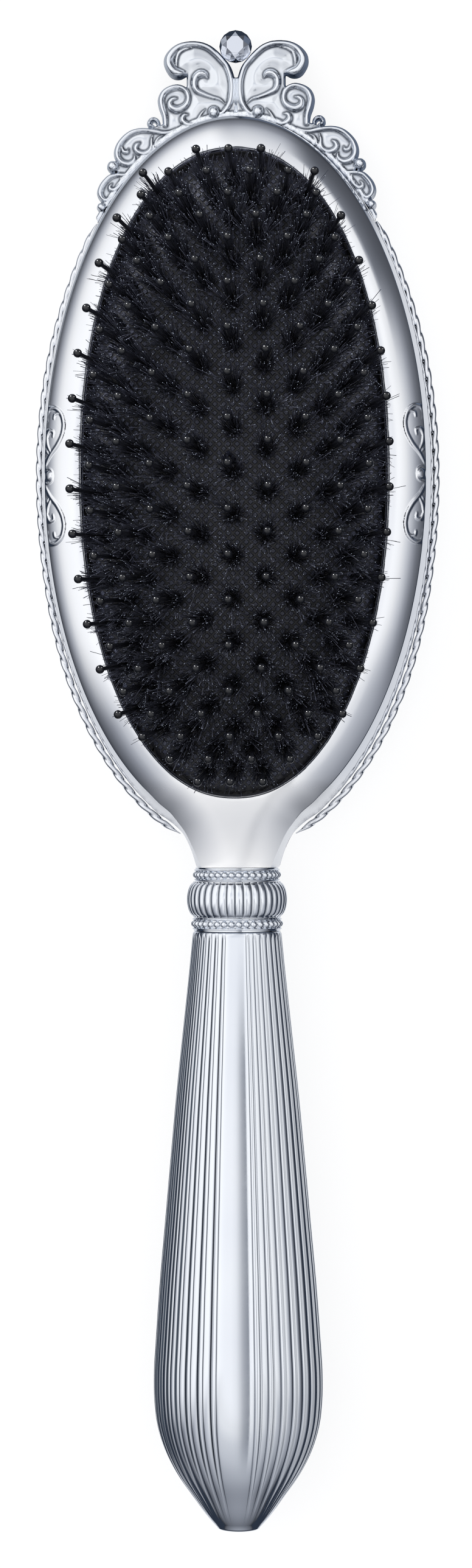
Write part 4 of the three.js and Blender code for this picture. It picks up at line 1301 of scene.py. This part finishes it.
# the hidden pieces keep their CAD shape
HIDDEN = {"chamber_tray": PLASTIC, "cushion_retainer": PLASTIC, "neck_tang": STEEL, "tang_pin": STEEL}
for number in range(1, 5):
    HIDDEN[f"tray_screw_{number}"] = STEEL
for node, finish in HIDDEN.items():
    made = frame["nodes"][node]
    made.data.materials.clear()
    made.data.materials.append(finish)

# ---------------------------------------------------------------- floor, light and camera
scene = bpy.context.scene
scene.view_settings.view_transform = "Standard"


def sheet(name, mat, low, high, height, corners):
    """A level rectangle that belongs to the stage, not to the brush."""
    mesh = bpy.data.meshes.new(name)
    (x0, y0), (x1, y1) = low, high
    mesh.from_pydata([(x0, y0, 0), (x1, y0, 0), (x1, y1, 0), (x0, y1, 0)], [], [corners])
    mesh.materials.append(mat)
    made = bpy.data.objects.new(name, mesh)
    scene.collection.objects.link(made)
    made.location.z = height
    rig.stage(made)
    return made


def glow(tree, color):
    """The output of a shader that gives off this colour."""
    made = tree.nodes.new("ShaderNodeEmission")
    feed(tree, made.inputs["Color"], color)
    return made.outputs["Emission"]


def show_either(tree, factor, a, b):
    """Shows shader a where factor is 0 and b where it is 1."""
    pick = tree.nodes.new("ShaderNodeMixShader")
    for socket, value in zip(pick.inputs, (factor, a, b)):
        tree.links.new(value, socket)
    tree.links.new(pick.outputs["Shader"], tree.nodes["Material Output"].inputs["Surface"])


def straight_view(tree):
    """1 for what the eye sees directly, 0 for what is mirrored or lit."""
    return tree.nodes.new("ShaderNodeLightPath").outputs["Is Camera Ray"]


FLOOR_GAP = 0.0005  # keeps the brush's lowest face clear of the floor, in metres
PALE, DARK = (0.74, 0.76, 0.8), (0.03, 0.04, 0.06)  # the floor near the brush and away from it
RIGHT_OF_CROWN, LEFT_OF_CROWN = (0.14, 0.17, 0.23), (0.46, 0.49, 0.54)


def floor():
    """A pale floor. What the chrome mirrors of it is a pale sheet under the brush and dark beyond."""
    mat, tree, shader = material("floor_white", (0.3, 0.3, 0.3), 0.9)
    shader.inputs["Emission Color"].default_value = (1, 1, 1, 1)
    shader.inputs["Emission Strength"].default_value = 0.8

    def step(kind, *values):
        return math_node(tree, kind, *values)

    def length(a, b):
        return step("SQRT", step("ADD", step("MULTIPLY", a, a), step("MULTIPLY", b, b)))

    x, y, _ = coordinates(tree, "Object")
    # how far outside the head's oval, and outside a rounded bar under the handle
    wide, long = FOOT[0] * MM, FOOT[1] * MM
    head_y = step("DIVIDE", step("SUBTRACT", y, HEAD_Y * MM), long)
    head = step("MULTIPLY", step("SUBTRACT", length(step("DIVIDE", x, wide), head_y), 1), wide)
    past_end = step("MAXIMUM", step("SUBTRACT", step("ABSOLUTE", step("ADD", y, 0.06)), 0.05), 0)
    bar = step("SUBTRACT", length(x, past_end), 0.012)
    away = eased(tree, step("MINIMUM", head, bar), 0.006, 0.015)
    crown_end = eased(tree, y, 0.088, 0.098)
    beside = mixed_color(tree, eased(tree, x, 0.009, 0.0145), DARK, RIGHT_OF_CROWN)
    beside = mixed_color(tree, eased(tree, x, -0.009, -0.0145), beside, LEFT_OF_CROWN)
    dark = mixed_color(tree, crown_end, DARK, beside)
    mirrored = mixed_color(tree, step("MAXIMUM", away, crown_end), PALE, dark)
    show_either(tree, straight_view(tree), glow(tree, mirrored), shader.outputs["BSDF"])
    sheet("floor", mat, (-6, -6), (6, 6), -FLOOR_GAP, (0, 1, 2, 3))


SOFT_BOX = [(0, 0.05), (7, 0.31), (15, 0.62), (23, 0.91), (31, 1.06), (40, 1.14), (60, 1.2)]
# Brightness of the studio by height in degrees, for directions round the brush in degrees from +X.
SECTORS = [
    # (from, to, [(height, brightness), ...]); None is what lies between the others
    (None, None, [(0, 0.04), (6, 0.14), (15, 0.22), (25, 0.34), (35, 0.48), (45, 0.64), (56, 0.76),
                  (65, 0.95), (80, 1.0)]),
    (98, 180, SOFT_BOX),
    (-190, -162, SOFT_BOX),
    (60, 98, [(0, 0.06), (6, 0.22), (13, 0.33), (20, 0.51), (27, 0.63), (34, 0.73), (41, 0.81),
              (57, 0.93), (75, 1.0)]),
    (22, 60, [(0, 0.04), (5, 0.10), (18, 0.13), (30, 0.18), (37, 0.23), (42, 0.42), (47, 1.0), (60, 1.15)]),
    (-18, 22, [(0, 0.05), (7, 0.13), (15, 0.22), (23, 0.39), (31, 0.60), (40, 0.81), (50, 1.01),
               (60, 1.13), (70, 1.18)]),
    (-48, -18, [(0, 0.05), (5, 0.27), (11, 0.34), (25, 0.47), (39, 0.59), (47, 0.68), (56, 0.88),
                (70, 1.0)]),
]
SECTOR_EDGE = 9  # degrees over which a sector fades out, either way
COOL = (0.87, 0.935, 1.10)  # the tint of the dark parts; the bright parts are white
STUDIO_STRENGTH = 1.25


def sector_color(level):
    return tuple(level * mix(c, 1.0, min(level, 1.0)) / STUDIO_STRENGTH for c in COOL)


def studio_world():
    """The studio as the chrome mirrors it: soft boxes left, right and overhead, dark at the horizon."""
    world = bpy.data.worlds.new("studio")
    scene.world = world
    world.use_nodes = True
    tree = world.node_tree
    tree.nodes.clear()
    x, y, z = coordinates(tree, "Generated")
    height = math_node(tree, "MULTIPLY", math_node(tree, "ARCSINE", z), 180 / math.pi)
    share = math_node(tree, "DIVIDE", height, 90)
    around = math_node(tree, "MULTIPLY", math_node(tree, "ARCTAN2", y, x), 180 / math.pi)
    total = None
    for low, high, levels in SECTORS:
        made = ramp(tree, share, [(degrees / 90, sector_color(level)) for degrees, level in levels])
        if low is None:
            total = made
            continue
        after_low = eased(tree, around, low - SECTOR_EDGE, low + SECTOR_EDGE) if low > -180 else 1.0
        before_high = eased(tree, around, high + SECTOR_EDGE, high - SECTOR_EDGE) if high < 180 else 1.0
        total = mixed_color(tree, math_node(tree, "MULTIPLY", after_low, before_high), total, made)
    # overhead: a pale ceiling, a little darker towards the crown's end
    ceiling = mixed_color(tree, eased(tree, y, 0.02, 0.24), (0.88, 0.88, 0.89), (0.66, 0.68, 0.72))
    total = mixed_color(tree, eased(tree, height, 66, 78), total, ceiling)
    back = tree.nodes.new("ShaderNodeBackground")
    back.inputs["Strength"].default_value = STUDIO_STRENGTH
    tree.links.new(mixed_color(tree, straight_view(tree), total, (0.77, 0.77, 0.775)), back.inputs["Color"])
    out = tree.nodes.new("ShaderNodeOutputWorld")
    tree.links.new(back.outputs["Background"], out.inputs["Surface"])


CARD_X, CARD_Y, CARD_Z = (-0.060, 0.050), (-0.45, 0.0), 0.25
CARD_COVER = [  # (share of the way across, how much it hides)
    (0.0, 0.0), (0.29, 0.02), (0.48, 0.13), (0.59, 0.33), (0.73, 0.62), (0.82, 0.72), (0.97, 0.85),
    (1.0, 0.4),
]


def handle_card():
    """A dark card over the handle, clear at its left and cut off sharply at its right.

    Only the gloss picks it up.
    """
    mat = bpy.data.materials.new("card")
    mat.use_nodes = True
    tree = mat.node_tree
    x, y, _ = coordinates(tree, "Object")
    share = spread(tree, x, CARD_X, (0, 1))
    cover = ramp(tree, share, [(at, (level, level, level)) for at, level in CARD_COVER])
    ends = math_node(tree, "MULTIPLY", eased(tree, y, 0.0, -0.03), eased(tree, y, CARD_Y[0], -0.2))
    cover = math_node(tree, "MULTIPLY", cover, ends)
    clear = tree.nodes.new("ShaderNodeBsdfTransparent").outputs["BSDF"]
    show_either(tree, cover, clear, glow(tree, (0.16, 0.18, 0.22)))
    low, high = zip(CARD_X, CARD_Y)
    made = sheet("handle_card", mat, low, high, CARD_Z, (0, 3, 2, 1))
    made.visible_camera = False
    made.visible_diffuse = False
    made.visible_shadow = False
    made.visible_transmission = False


def area_light(name, place, size, power, lit):
    """A square light aimed at the head, which reaches only the pieces in the collection lit."""
    lamp = bpy.data.lights.new(name, "AREA")
    lamp.shape = "RECTANGLE"
    lamp.size = lamp.size_y = size
    lamp.energy = power
    made = bpy.data.objects.new(name, lamp)
    scene.collection.objects.link(made)
    made.location = place
    aim = Vector((0, 0.048, 0.02)) - Vector(place)
    made.rotation_euler = aim.to_track_quat("-Z", "Y").to_euler()
    made.light_linking.receiver_collection = lit


def lights():
    """Two lights for the dark pad, quills and bristles; the chrome takes its light from the studio."""
    lit = bpy.data.collections.new("lit_parts")
    for made in scene.objects:
        if made.name.startswith(("quills_", "bristles_", "cushion_")):
            lit.objects.link(made)
    area_light("key", (-0.438, 0.729, 0.293), 0.13, 7, lit)
    area_light("fill", (0.594, 0.594, 0.32), 0.11, 3, lit)


CAMERA_DISTANCE = 0.6
LENS, SENSOR = 86.28, 36


def view():
    """The camera looks straight down on the brush from a touch to its right."""
    camera = bpy.data.objects.new("camera", bpy.data.cameras.new("camera"))
    scene.collection.objects.link(camera)
    camera.data.sensor_width = SENSOR
    camera.data.lens = LENS
    camera.data.clip_start = 0.01
    camera.data.clip_end = 50
    tilt, roll = math.radians(3), math.radians(-0.15)
    aim = Vector((-0.12, -0.82, AXIS_Z)) * MM
    camera.location = aim + Vector((math.sin(tilt), 0, math.cos(tilt))) * CAMERA_DISTANCE
    camera.rotation_euler = (Matrix.Rotation(tilt, 3, "Y") @ Matrix.Rotation(roll, 3, "Z")).to_euler()
    bpy.context.scene.camera = camera


floor()
studio_world()
lights()
handle_card()
view()

VISUAL_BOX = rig.bounds()
with open("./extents.json", "w") as out:
    json.dump({
        "cad": [list(corner) for corner in CAD_BOX],
        "visual": [list(corner) for corner in VISUAL_BOX],
    }, out)
